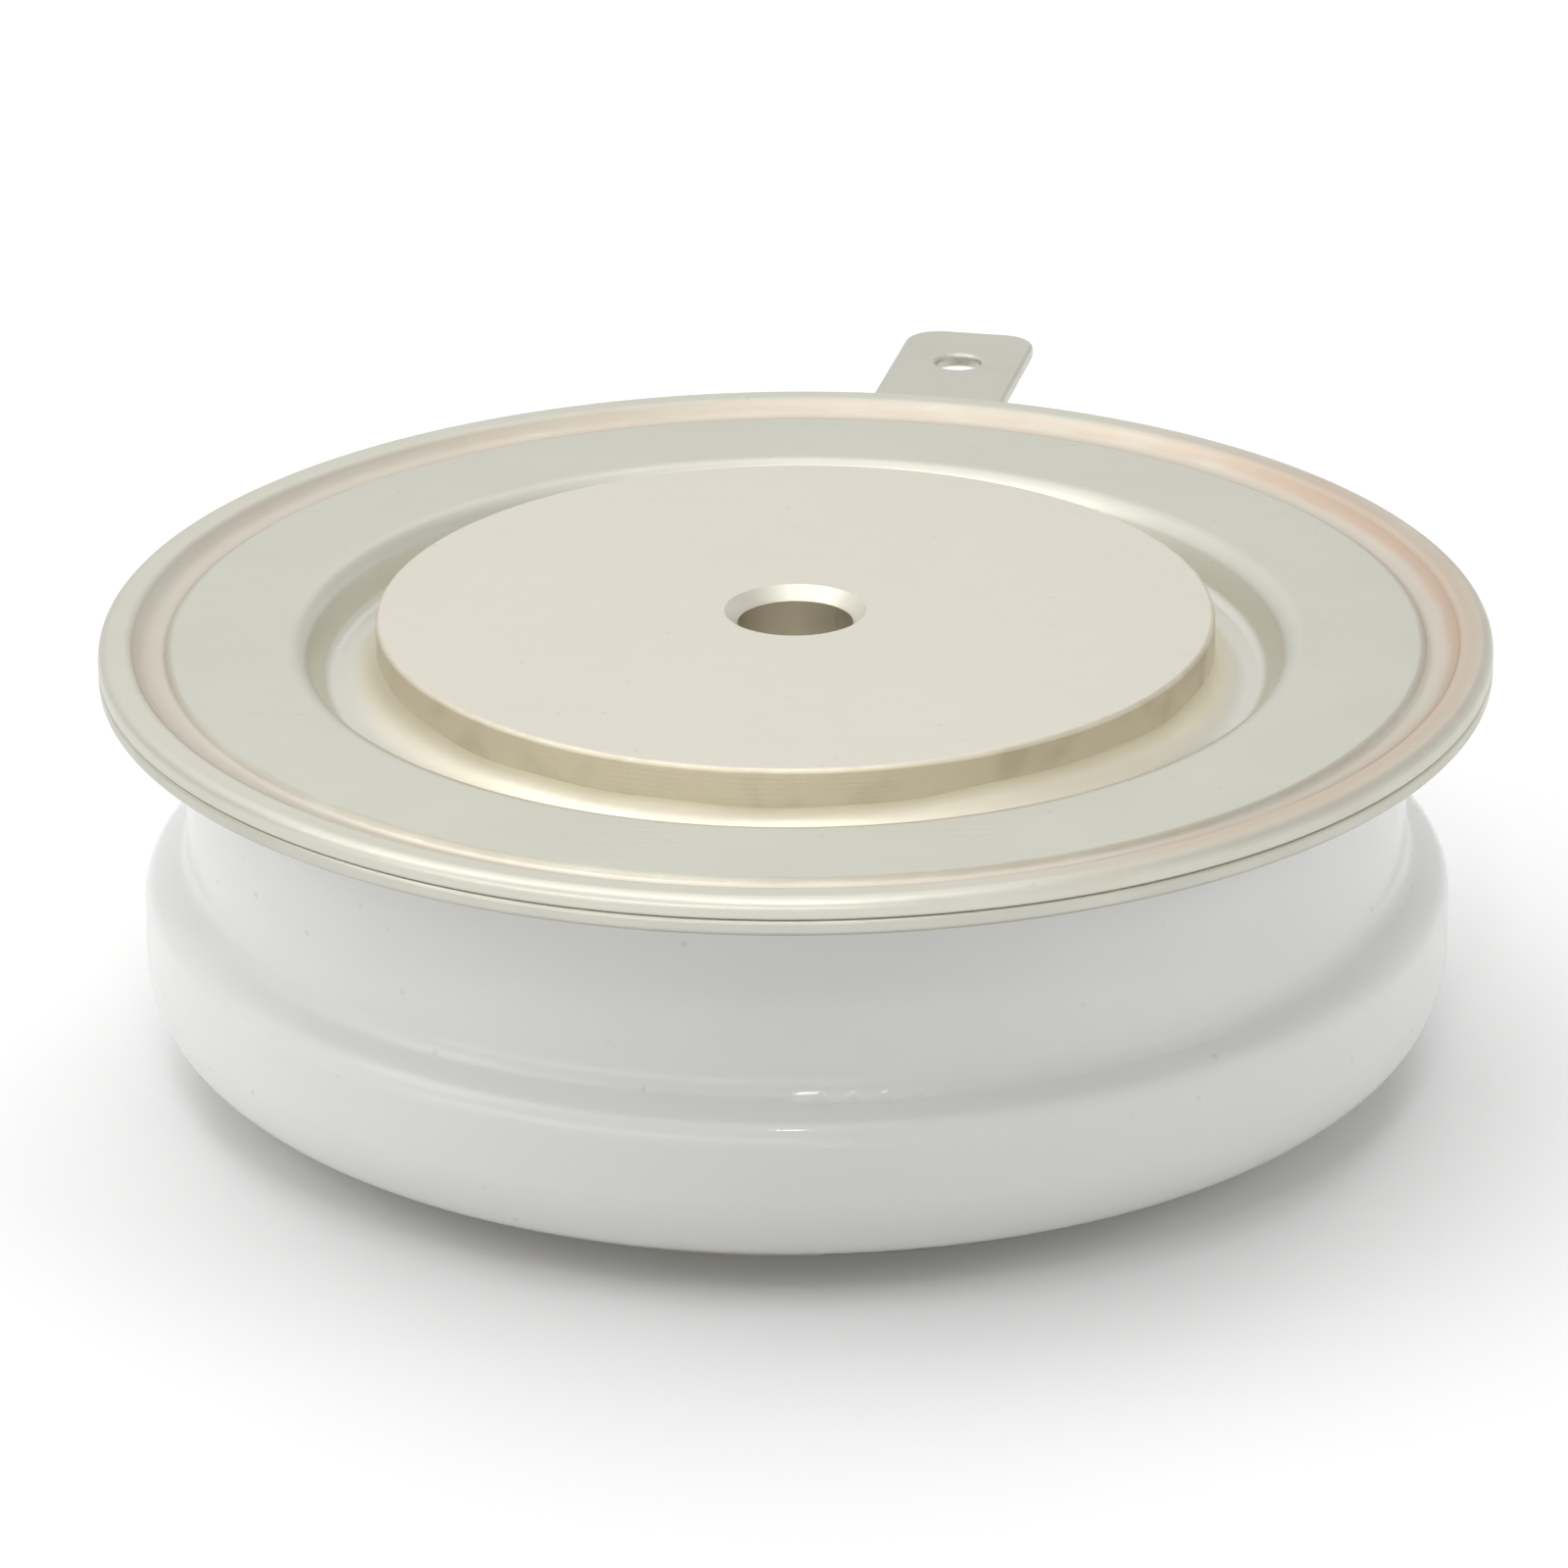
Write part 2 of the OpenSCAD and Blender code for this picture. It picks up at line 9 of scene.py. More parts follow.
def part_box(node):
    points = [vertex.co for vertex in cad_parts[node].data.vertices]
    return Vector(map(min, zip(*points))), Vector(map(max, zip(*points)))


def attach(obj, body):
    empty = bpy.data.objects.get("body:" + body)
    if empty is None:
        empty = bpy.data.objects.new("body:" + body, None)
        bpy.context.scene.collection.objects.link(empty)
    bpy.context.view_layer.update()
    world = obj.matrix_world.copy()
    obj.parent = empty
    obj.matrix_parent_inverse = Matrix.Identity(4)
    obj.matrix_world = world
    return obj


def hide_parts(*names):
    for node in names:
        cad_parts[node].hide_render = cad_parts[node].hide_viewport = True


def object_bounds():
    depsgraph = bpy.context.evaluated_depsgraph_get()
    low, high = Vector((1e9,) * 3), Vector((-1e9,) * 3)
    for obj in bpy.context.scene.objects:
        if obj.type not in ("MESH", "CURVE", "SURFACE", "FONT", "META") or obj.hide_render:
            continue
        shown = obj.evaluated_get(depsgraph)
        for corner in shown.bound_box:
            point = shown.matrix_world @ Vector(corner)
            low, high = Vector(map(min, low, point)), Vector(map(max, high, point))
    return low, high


bl_info = {
    "name": "Disc Thyristor Capsule",
    "version": (1, 0, 0),
    "blender": (4, 5, 0),
    "location": "View3D > Sidebar > Capsule",
    "description": "Dresses a press-pack capsule in plated metal and glazed ceramic",
    "category": "Object",
}

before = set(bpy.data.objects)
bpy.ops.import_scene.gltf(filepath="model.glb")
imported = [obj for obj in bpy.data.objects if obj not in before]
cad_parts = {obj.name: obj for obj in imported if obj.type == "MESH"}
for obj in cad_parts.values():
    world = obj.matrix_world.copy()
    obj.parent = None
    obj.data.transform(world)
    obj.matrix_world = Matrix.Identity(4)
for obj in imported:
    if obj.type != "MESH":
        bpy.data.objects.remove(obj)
CAD_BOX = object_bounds()

MM = 0.001

# Sizes that go with the solids
POLE_R = 12.65 * MM
HOLE_R = 1.75 * MM
NECK_R = 18.52 * MM
RING_BORE = 16.02 * MM
RING_ROUND = 0.2 * MM
GROOVE_DEPTH = 0.15 * MM
TAB_ROOT_DEPTH = 0.6 * MM
TAB_CLEARANCE = 0.04 * MM

# How finely round shapes are cut
TAB_HOLE_SIDES = 48
RING_SIDES = 320
TUBE_SIDES = 96
BEND_STEPS = 8
CARD_STEPS = 24
SHARP_ANGLE = math.radians(35.0)

# Depth of the fine bumps in the plate
PLATE_BUMP = 0.005 * MM
TURNED_BUMP = 0.004 * MM

# Stage: the floor lies just under the part, and the sensor's width is in millimetres
FLOOR_HALF = 0.9
FLOOR_DROP = 0.02 * MM
SENSOR = 36.0

# Slow waves in the size of a braze fillet: share of its legs, waves in one turn, start
SWAY = ((0.09, 3.0, 0.7), (0.06, 7.0, 2.1), (0.03, 17.0, 0.0))


def node_top(name):
    """Height of a node's highest point, in metres."""
    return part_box(name)[1].z


def node_bottom(name):
    """Height of a node's lowest point, in metres."""
    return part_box(name)[0].z


def node_reach(name):
    """Largest distance of a round node from the capsule's axis along X, in metres."""
    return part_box(name)[1].x


# Sizes and colours


def color_prop(name, description, default):
    """Colour without alpha."""
    return bpy.props.FloatVectorProperty(
        name=name, description=description, default=default, subtype="COLOR", size=3, min=0.0, max=1.0)


def factor_prop(name, description, default):
    """Share from 0 to 1."""
    return bpy.props.FloatProperty(
        name=name, description=description, default=default, subtype="FACTOR", min=0.0, max=1.0)


def length_prop(name, description, default):
    """Length, with its default in millimetres."""
    return bpy.props.FloatProperty(
        name=name, description=description, default=default * MM, subtype="DISTANCE", unit="LENGTH")


def angle_prop(name, description, default):
    """Angle, with its default in degrees."""
    return bpy.props.FloatProperty(
        name=name, description=description, default=math.radians(default), subtype="ANGLE", unit="ROTATION")


def power_prop(name, description, default):
    """Power of a lamp in watts."""
    return bpy.props.FloatProperty(
        name=name, description=description, default=default, unit="POWER", min=0.0)


def level_prop(name, description, default, limit=3.0):
    """Brightness, where 1 is white."""
    return bpy.props.FloatProperty(
        name=name, description=description, default=default, min=0.0, max=limit)


class CapsuleMetalSettings(bpy.types.PropertyGroup):
    """Colours and roughness of the plated metal"""

    pole_color: color_prop("Pole plate", "Colour of the plated contact poles", (0.73, 0.7, 0.61))
    wall_color: color_prop(
        "Pole side", "Colour of the turned side of the poles, where the plate is thin",
        (0.885, 0.815, 0.655))
    sheet_color: color_prop(
        "Sheet plate", "Colour of the plated lid and flange sheet", (0.645, 0.637, 0.555))
    # Painted light: a lighter colour that brightens the lid's convolution, and the braze where it runs out
    # there.
    groove_lift_color: color_prop(
        "Convolution plate", "Colour of the thicker plating in the lid's convolution", (0.68, 0.67, 0.6))
    copper_color: color_prop(
        "Bare copper", "Colour of copper where the plating is worn thin", (0.6, 0.475, 0.375))
    pressed_color: color_prop(
        "Pressed plate", "Colour of the plating in the bottom of the weld pinch", (0.655, 0.575, 0.485))
    # Used for real stains and pits, and as painted shade on the top of the pole's side, on its edge and
    # along the lid's crease; it also darkens the centring hole.
    tarnish_and_shade_color: color_prop(
        "Tarnish", "Colour of stains and of the inside of the centring holes", (0.36, 0.31, 0.22))
    braze_color: color_prop("Braze", "Colour of the silver braze at the joints", (0.85, 0.795, 0.645))
    pole_roughness: factor_prop("Pole roughness", "Roughness of the turned pole faces", 0.4)
    sheet_roughness: factor_prop("Sheet roughness", "Roughness of the pressed sheet", 0.36)


class CapsuleCeramicSettings(bpy.types.PropertyGroup):
    """Colour and gloss of the glazed ring"""

    glaze_color: color_prop("Glaze", "Colour of the glazed alumina", (0.8, 0.8, 0.788))
    fleck_color: color_prop("Fleck", "Colour of the small flecks in the glaze", (0.52, 0.5, 0.47))
    glaze_roughness: factor_prop("Glaze roughness", "Roughness of the glaze", 0.4)


class CapsuleLidSettings(bpy.types.PropertyGroup):
    """Sizes of the lid's section"""

    sheet: length_prop("Lid sheet", "Thickness of the lid sheet", 0.4)
    floor_drop: length_prop(
        "Convolution depth", "Depth of the convolution's floor below the contact face", 1.95)
    wall_top_r: length_prop(
        "Convolution radius", "Radius at which the convolution's wall meets the flat ring", 14.909)
    wall_lean: angle_prop("Convolution lean", "Lean of the convolution's wall from upright", 30.0)
    foot_round: length_prop("Foot bend", "Radius of the bend at the foot of the convolution", 0.45)
    top_round: length_prop("Top bend", "Radius of the bend at the top of the convolution", 0.8)
    ring_drop: length_prop("Flat ring drop", "Height of the flat ring below the lip", 0.25)
    pinch_drop: length_prop("Pinch drop", "Height of the bottom of the weld pinch below the lip", 0.45)
    pinch_inset: length_prop("Pinch inset", "Distance from the rim in to the start of the weld pinch", 2.1)
    pinch_floor_in: length_prop(
        "Pinch floor, inner", "Distance from the rim in to the inner side of the pinch's floor", 1.932)
    pinch_floor_out: length_prop(
        "Pinch floor, outer", "Distance from the rim in to the outer side of the pinch's floor", 1.32)
    lip_inset: length_prop("Lip inset", "Distance from the rim in to the corner of the lip", 0.9424)
    lip_round: length_prop("Lip round", "Round on the outer edge of the lip", 0.35)
    crest_round: length_prop("Crest round", "Round on the inner edge of the lip", 0.4)
    pinch_round: length_prop("Pinch round", "Round on the inner bends of the weld pinch", 0.25)
    gutter_round: length_prop("Gutter round", "Round on the outer bend of the weld pinch", 1.0)
    seam_round: length_prop("Seam round", "Round on the edges where lid and weld ring meet", 0.12)


class CapsuleTabSettings(bpy.types.PropertyGroup):
    """Sizes of the auxiliary cathode tab"""

    turn: angle_prop("Tab turn", "Angle of the tab from the rear towards the right", 12.1)
    width: length_prop("Tab width", "Width of the tab", 4.3)
    reach: length_prop("Tab reach", "Reach of the tab beyond the rim", 8.0)
    corner: length_prop("Tab corner", "Round on the free corners", 1.1)
    root: length_prop("Tab root", "Round where the tab leaves the rim", 1.2)
    hole: length_prop("Tab hole", "Diameter of the hole", 1.5)
    hole_inset: length_prop("Hole inset", "Distance from the hole to the end of the tab", 3.0)
    edge: length_prop("Tab edge", "Round on the stamped edges", 0.12)


class CapsuleBrazeSettings(bpy.types.PropertyGroup):
    """Sizes of the braze fillets"""

    pole_width: length_prop(
        "Pole fillet width", "Width of the fillet on the lid round the cathode pole", 0.95)
    pole_height: length_prop(
        "Pole fillet height", "Height of the fillet on the side of the cathode pole", 0.85)
    anode_leg: length_prop("Anode fillet", "Leg of the fillet between the anode pole and its flange", 0.3)
    ceramic_leg: length_prop("Ceramic fillet", "Leg of the fillet between the ceramic and its sheet", 0.22)
    tube_leg: length_prop("Gate fillet", "Leg of the fillet between the ceramic and the gate tube", 0.32)
    overlap: length_prop("Overlap", "Depth by which a fillet sinks into the pieces it joins", 0.04)


class CapsuleStageSettings(bpy.types.PropertyGroup):
    """Floor, lamps and camera"""

    floor_color: color_prop("Floor", "Colour of the floor", (0.82, 0.82, 0.82))
    floor_lift: level_prop("Floor lift", "Light added to the floor where the camera sees it", 0.08, 1.0)
    ambient: level_prop("Ambient", "Strength of the even light from all round", 0.3, 2.0)
    key_power: power_prop("Key", "Power of the large lamp above and to the left", 1.6)
    left_power: power_prop("Left", "Power of the soft lamp on the left", 1.0)
    right_power: power_prop("Right", "Power of the soft lamp on the right", 0.9)
    top_power: power_prop("Top", "Power of the soft lamp overhead that the metal reflects", 0.7)
    fill_power: power_prop(
        "Fill", "Power of the broad lamp overhead that lights floor and ceramic alone", 6.0)
    glint_power: power_prop("Glint", "Power of the small lamp above the camera", 0.03)
    bright_card: level_prop(
        "High back card", "Brightness of the card high at the back that the bends reflect", 1.5)
    high_card: level_prop(
        "Edge cards", "Brightness of the cards that the bends and the edge of the lip reflect", 2.2, 5.0)
    back_card: level_prop("Back card", "Brightness of the card that the level faces reflect", 1.02)
    grey_card: level_prop("Grey card", "Brightness of the grey card at the back on the right", 0.72)
    dark_card: level_prop("Dark cards", "Brightness of the dark cards that the metal reflects", 0.66)
    side_card: level_prop(
        "Low cards", "Brightness of the low cards that the crest of the lip reflects", 0.84)
    camera_distance: length_prop(
        "Camera distance", "Distance from the camera to the middle of the rim", 238.3)
    camera_elevation: angle_prop("Camera elevation", "Angle of the camera above the rim", 21.405)
    camera_roll: angle_prop("Camera roll", "Turn of the picture about its middle", -0.33)
    camera_focal: bpy.props.FloatProperty(
        name="Focal length", description="Focal length of the lens in millimetres",
        unit="CAMERA", min=10.0, max=400.0, default=181.3)
    rim_offset: bpy.props.FloatVectorProperty(
        name="Rim offset", size=2, default=(0.00725, -0.10238),
        description="Middle of the rim, right and down from the picture's middle, in picture widths")


class CapsuleLooks(bpy.types.PropertyGroup):
    """All settings of the capsule's looks"""

    metal: bpy.props.PointerProperty(type=CapsuleMetalSettings)
    ceramic: bpy.props.PointerProperty(type=CapsuleCeramicSettings)
    lid: bpy.props.PointerProperty(type=CapsuleLidSettings)
    tab: bpy.props.PointerProperty(type=CapsuleTabSettings)
    braze: bpy.props.PointerProperty(type=CapsuleBrazeSettings)
    stage: bpy.props.PointerProperty(type=CapsuleStageSettings)


# Shader nodes


class NodeSheet:
    """Short calls for the nodes that the finishes use."""

    def __init__(self, tree):
        self.tree = tree

    def feed(self, socket, value):
        """Links a socket to a socket, or sets its value."""
        if isinstance(value, bpy.types.NodeSocket):
            self.tree.links.new(value, socket)
        else:
            socket.default_value = value

    def add(self, kind, sockets=None, **settings):
        """New node with its settings and named inputs."""
        node = self.tree.nodes.new(kind)
        for name, value in settings.items():
            setattr(node, name, value)
        for name, value in (sockets or {}).items():
            self.feed(node.inputs[name], value)
        return node

    def math(self, operation, *values):
        """Math node; returns its value."""
        node = self.add("ShaderNodeMath", operation=operation)
        for socket, value in zip(node.inputs, values):
            self.feed(socket, value)
        return node.outputs["Value"]

    def times(self, first, second):
        """Product of two values."""
        return self.math("MULTIPLY", first, second)

    def plus(self, first, second):
        """Sum of two values."""
        return self.math("ADD", first, second)

    def minus(self, first, second):
        """First value less the second."""
        return self.math("SUBTRACT", first, second)

    def most(self, first, second):
        """Larger of two values."""
        return self.math("MAXIMUM", first, second)

    def noise(self, vector, scale, detail=2.0, roughness=0.5):
        """Noise value from 0 to 1."""
        node = self.add("ShaderNodeTexNoise", {
            "Vector": vector, "Scale": scale, "Detail": detail, "Roughness": roughness})
        return node.outputs["Fac"]

    def ease(self, value, low, high):
        """0 below low, 1 above high, and smooth between; falls where low is the larger."""
        node = self.add("ShaderNodeMapRange", {
            "Value": value, "From Min": low, "From Max": high},
            interpolation_type="SMOOTHSTEP")
        return node.outputs["Result"]

    def spread(self, value, low, high):
        """Value from 0 to 1 spread between low and high."""
        node = self.add("ShaderNodeMapRange", {"Value": value, "To Min": low, "To Max": high})
        return node.outputs["Result"]

    def mix(self, factor, first, second):
        """Mix of two colours."""
        node = self.add("ShaderNodeMix", data_type="RGBA")
        self.feed(node.inputs[0], factor)
        self.feed(node.inputs[6], first)
        self.feed(node.inputs[7], second)
        return node.outputs[2]

    def stain(self, tone, color, mask, amount):
        """Tone with a colour laid over it where a mask shows, by an amount."""
        return self.mix(self.times(mask, amount), tone, opaque(color))

    def bump(self, height, distance, strength=1.0, normal=None):
        """Normal tilted by a height."""
        node = self.add("ShaderNodeBump", {"Height": height, "Distance": distance, "Strength": strength})
        if normal is not None:
            self.feed(node.inputs["Normal"], normal)
        return node.outputs["Normal"]

    def use(self, group, **sockets):
        """Shared group with its inputs set."""
        node = self.add("ShaderNodeGroup")
        node.node_tree = group
        for name, value in sockets.items():
            self.feed(node.inputs[name.replace("_", " ")], value)
        return node.outputs

    def show(self, shader, kind="Material"):
        """Ends the tree of a material, or of a world, with a shader."""
        self.add("ShaderNodeOutput" + kind, {"Surface": shader})


def shared_group(name, inputs, outputs, build):
    """Shader node group of that name, built once."""
    group = bpy.data.node_groups.get(name)
    if group is not None:
        return group
    group = bpy.data.node_groups.new(name, "ShaderNodeTree")
    for socket, kind, default in inputs:
        made = group.interface.new_socket(name=socket, in_out="INPUT", socket_type="NodeSocket" + kind)
        if default is not None:
            made.default_value = default
    for socket, kind in outputs:
        group.interface.new_socket(name=socket, in_out="OUTPUT", socket_type="NodeSocket" + kind)
    sheet = NodeSheet(group)
    given = group.nodes.new("NodeGroupInput").outputs
    results = build(sheet, given)
    end = group.nodes.new("NodeGroupOutput")
    for socket, value in results.items():
        sheet.feed(end.inputs[socket], value)
    return group


def ring_place():
    """Place on the capsule in millimetres: radius, height, turn about the axis and point."""

    def build(sheet, given):
        coords = sheet.add("ShaderNodeTexCoord").outputs["Object"]
        larger = {"Vector": coords, "Scale": 1.0 / MM}
        point = sheet.add("ShaderNodeVectorMath", larger, operation="SCALE").outputs["Vector"]
        split = sheet.add("ShaderNodeSeparateXYZ", {"Vector": point}).outputs
        squares = sheet.plus(sheet.times(split["X"], split["X"]), sheet.times(split["Y"], split["Y"]))
        radius = sheet.math("SQRT", squares)
        turn = sheet.math("ARCTAN2", split["X"], split["Y"])
        return {"Radius": radius, "Height": split["Z"], "Turn": turn, "Point": point}

    return shared_group("Ring Place", [], [
        ("Radius", "Float"), ("Height", "Float"), ("Turn", "Float"), ("Point", "Vector")], build)


def plate_grain():
    """Satin plating: slow clouds, fine grain and sparse pits."""

    def build(sheet, given):
        point = given["Point"]
        clouds = sheet.noise(point, given["Cloud Scale"], 3.0, 0.55)
        grain = sheet.noise(point, given["Grain Scale"], 2.0, 0.6)
        cells = sheet.add("ShaderNodeTexVoronoi", {"Vector": point, "Scale": given["Pit Scale"]})
        gate = sheet.ease(sheet.noise(point, 0.9, 1.0), 0.5, 0.62)
        pits = sheet.times(sheet.ease(cells.outputs["Distance"], 0.13, 0.05), gate)
        return {"Clouds": clouds, "Grain": grain, "Pits": pits}

    return shared_group("Plate Grain", [
        ("Point", "Vector", None), ("Cloud Scale", "Float", 0.25),
        ("Grain Scale", "Float", 9.0), ("Pit Scale", "Float", 1.3)], [
        ("Clouds", "Float"), ("Grain", "Float"), ("Pits", "Float")], build)


def turned_marks():
    """Fine lines that a turning tool leaves at a steady pitch along a distance."""

    def build(sheet, given):
        wobble = sheet.noise(given["Point"], 0.6, 2.0)
        phase = sheet.math("DIVIDE", given["Along"], given["Pitch"])

        def wave(turns):
            return sheet.math("SINE", sheet.times(sheet.plus(turns, wobble), math.tau))

        coarse, fine = wave(phase), wave(sheet.times(phase, 2.37))
        lines = sheet.plus(sheet.times(coarse, 0.3), sheet.times(fine, 0.2))
        patchy = sheet.ease(sheet.noise(given["Point"], 0.35, 1.0), 0.3, 0.7)
        return {"Lines": sheet.plus(sheet.times(lines, sheet.spread(patchy, 0.45, 1.0)), 0.5)}

    return shared_group("Turned Marks", [
        ("Along", "Float", 0.0), ("Pitch", "Float", 0.12), ("Point", "Vector", None)], [
        ("Lines", "Float")], build)


def worn_band():
    """Band about a middle value that frays at its sides."""

    def build(sheet, given):
        fray = sheet.noise(given["Point"], given["Fray Scale"], 3.0, 0.6)
        shift = sheet.times(sheet.minus(fray, 0.5), given["Half Width"])
        away = sheet.math("ABSOLUTE", sheet.minus(given["Along"], given["Middle"]))
        near = sheet.math("DIVIDE", sheet.plus(away, shift), given["Half Width"])
        return {"Mask": sheet.ease(near, 1.0, 0.15)}

    return shared_group("Worn Band", [
        ("Along", "Float", 0.0), ("Middle", "Float", 0.0), ("Half Width", "Float", 0.3),
        ("Fray Scale", "Float", 1.0), ("Point", "Vector", None)], [("Mask", "Float")], build)


def hair_scratches():
    """Thin scattered scratches in two directions."""

    def build(sheet, given):
        total = None
        for turn, squeeze in ((0.5, 4.9), (2.1, 3.85)):
            place = sheet.add("ShaderNodeMapping", {
                "Vector": given["Point"], "Rotation": (0.0, 0.0, turn), "Scale": (0.16, squeeze, 1.0)})
            lines = sheet.noise(place.outputs["Vector"], given["Scale"], 1.0, 0.5)
            thin = sheet.ease(lines, 0.69, 0.75)
            total = thin if total is None else sheet.most(total, thin)
        return {"Mask": total}

    return shared_group("Hair Scratches", [
        ("Point", "Vector", None), ("Scale", "Float", 1.0)], [("Mask", "Float")], build)


def opaque(color):
    """RGB colour with full alpha."""
    return (color[0], color[1], color[2], 1.0)


def dimmed(color, share):
    """Colour times a share."""
    return [channel * share for channel in color]


def emptied(holder):
    """Node tree of a material or world, with no nodes in it."""
    holder.use_nodes = True
    holder.node_tree.nodes.clear()
    return holder.node_tree


class Finish(NodeSheet):
    """Material that knows its place on the capsule and the grain of its surface."""

    def __init__(self, name, **grain_scales):
        self.material = bpy.data.materials.new(name)
        super().__init__(emptied(self.material))
        place = self.use(ring_place())
        self.point, self.radius = place["Point"], place["Radius"]
        self.height, self.turn = place["Height"], place["Turn"]
        grain = self.use(plate_grain(), Point=self.point, **grain_scales)
        self.clouds, self.grain, self.pits = grain["Clouds"], grain["Grain"], grain["Pits"]

    def band(self, middle, half_mm, fray):
        """Mask of a frayed band about a radius."""
        return self.use(worn_band(), Along=self.radius, Middle=middle / MM, Half_Width=half_mm,
                        Point=self.point, Fray_Scale=fray)["Mask"]

    def scratches(self, scale):
        """Mask of hair scratches."""
        return self.use(hair_scratches(), Point=self.point, Scale=scale)["Mask"]

    def clouded(self, color, share, low, high):
        """Colour that the clouds darken towards a share of it."""
        return self.mix(self.spread(self.clouds, low, high), opaque(color), opaque(dimmed(color, share)))

    def patchy(self, roughness, less, more):
        """Roughness that the clouds vary."""
        return self.spread(self.clouds, roughness - less, roughness + more)

    def done(self, tone, roughness, normal, **values):
        """Ends the tree with a Principled BSDF, and returns the material."""
        shader = self.add("ShaderNodeBsdfPrincipled", {
            "Base Color": tone, "Roughness": roughness, "Normal": normal})
        for name, value in values.items():
            shader.inputs[name.replace("_", " ")].default_value = value
        self.show(shader.outputs["BSDF"])
        return self.material


def dress(material, *names):
    """Puts a material on CAD nodes."""
    for name in names:
        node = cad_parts.get(name)
        if node is None:
            raise RuntimeError("the packed model has no node " + name)
        for slot in node.material_slots:
            slot.material = material


def pole_finish(metal, hole_r, edge_r, face_z):
    """Turned and plated copper pole: golden side, stains, painted shade at the top of the side and on the
    edge, an edge rougher from wear, and a darker centring hole.
    """
    sheet = Finish("Plated Pole")
    hole, rim, face = hole_r / MM, edge_r / MM, face_z / MM
    along = sheet.plus(sheet.radius, sheet.height)
    lines = sheet.use(turned_marks(), Along=along, Point=sheet.point, Pitch=0.16)["Lines"]
    # Painted shade: the tarnish colour darkens this band round the edge to dim its highlight; the extra
    # roughness on it is wear.
    edge = sheet.band(edge_r, 0.16, 1.0)
    scratches = sheet.scratches(0.8)
    side = sheet.ease(sheet.radius, rim - 0.12, rim - 0.02)
    # Painted shade: the top of the turned side, just under the face, is darkened with the tarnish colour.
    upper_side_shade = sheet.times(side, sheet.ease(sheet.height, face - 1.0, face - 0.25))
    blots = sheet.times(sheet.ease(sheet.noise(sheet.point, 0.55, 2.0, 0.55), 0.45, 0.75), side)
    # Darkens the inside and the mouth of the centring hole.
    in_hole = sheet.ease(sheet.radius, hole + 0.1, hole - 0.02)
    tone = sheet.clouded(metal.pole_color, 0.965, -0.6, 1.3)
    tone = sheet.mix(side, tone, opaque(metal.wall_color))
    for mask, amount in ((upper_side_shade, 0.06), (blots, 0.3), (edge, 0.3), (sheet.pits, 0.2), (in_hole, 0.18)):
        tone = sheet.stain(tone, metal.tarnish_and_shade_color, mask, amount)
    rough = sheet.plus(sheet.patchy(metal.pole_roughness, 0.08, 0.08), sheet.spread(lines, -0.05, 0.05))
    rough = sheet.minus(rough, sheet.times(scratches, 0.08))
    rough = sheet.plus(rough, sheet.times(edge, 0.12))
    height = sheet.plus(sheet.times(lines, 0.7), sheet.times(sheet.grain, 0.6))
    height = sheet.minus(height, sheet.times(sheet.plus(scratches, sheet.pits), 0.6))
    return sheet.done(tone, rough, sheet.bump(height, TURNED_BUMP), Metallic=1.0)


def lid_finish(metal, rim_r, lid):
    """Pressed and plated lid with a pink weld pinch, copper on the crest, a heat tint on the right, painted
    light in the convolution and painted shade along the crease.
    """
    sheet = Finish("Plated Lid", Cloud_Scale=0.18)
    scratches = sheet.scratches(1.0)
    floor = sheet.band(rim_r - 0.5 * (lid.pinch_floor_in + lid.pinch_floor_out), 0.62, 0.5)
    crease = sheet.band(rim_r - lid.pinch_inset, 0.16, 0.5)
    crest = sheet.band(rim_r - 0.5 * (lid.pinch_floor_out + lid.lip_inset), 0.32, 0.5)
    rim = sheet.band(rim_r - 0.8 * MM, 0.95, 0.3)
    patches = sheet.ease(sheet.noise(sheet.point, 0.07, 2.0), 0.3, 0.7)
    on_right = sheet.ease(sheet.math("ABSOLUTE", sheet.minus(sheet.turn, 1.7)), 1.35, 0.7)
    groove = lid.wall_top_r / MM
    # Painted light: inside the convolution the sheet takes a lighter colour that brightens it.
    groove_lift_mask = sheet.ease(sheet.radius, groove, groove - 0.6)
    faint = sheet.spread(patches, 0.15, 0.5)
    tone = sheet.clouded(metal.sheet_color, 0.93, -0.5, 1.3)
    tone = sheet.mix(groove_lift_mask, tone, opaque(metal.groove_lift_color))
    tone = sheet.stain(tone, metal.pressed_color, floor, sheet.spread(patches, 0.45, 0.9))
    # Painted shade: the tarnish colour darkens the crease in patches.
    tone = sheet.stain(tone, metal.tarnish_and_shade_color, crease, faint)
    tone = sheet.stain(tone, metal.copper_color, crest, sheet.most(faint, on_right))
    tone = sheet.stain(tone, metal.copper_color, rim, sheet.spread(on_right, 0.0, 0.65))
    tone = sheet.stain(tone, metal.tarnish_and_shade_color, sheet.pits, 0.2)
    rubbed = sheet.most(rim, sheet.most(crease, crest))
    rough = sheet.plus(sheet.patchy(metal.sheet_roughness, 0.08, 0.1), sheet.times(rubbed, 0.14))
    rough = sheet.minus(rough, sheet.times(scratches, 0.08))
    marks = sheet.times(sheet.plus(scratches, sheet.pits), 0.5)
    height = sheet.minus(sheet.times(sheet.grain, 0.9), marks)
    return sheet.done(tone, rough, sheet.bump(height, PLATE_BUMP), Metallic=1.0)


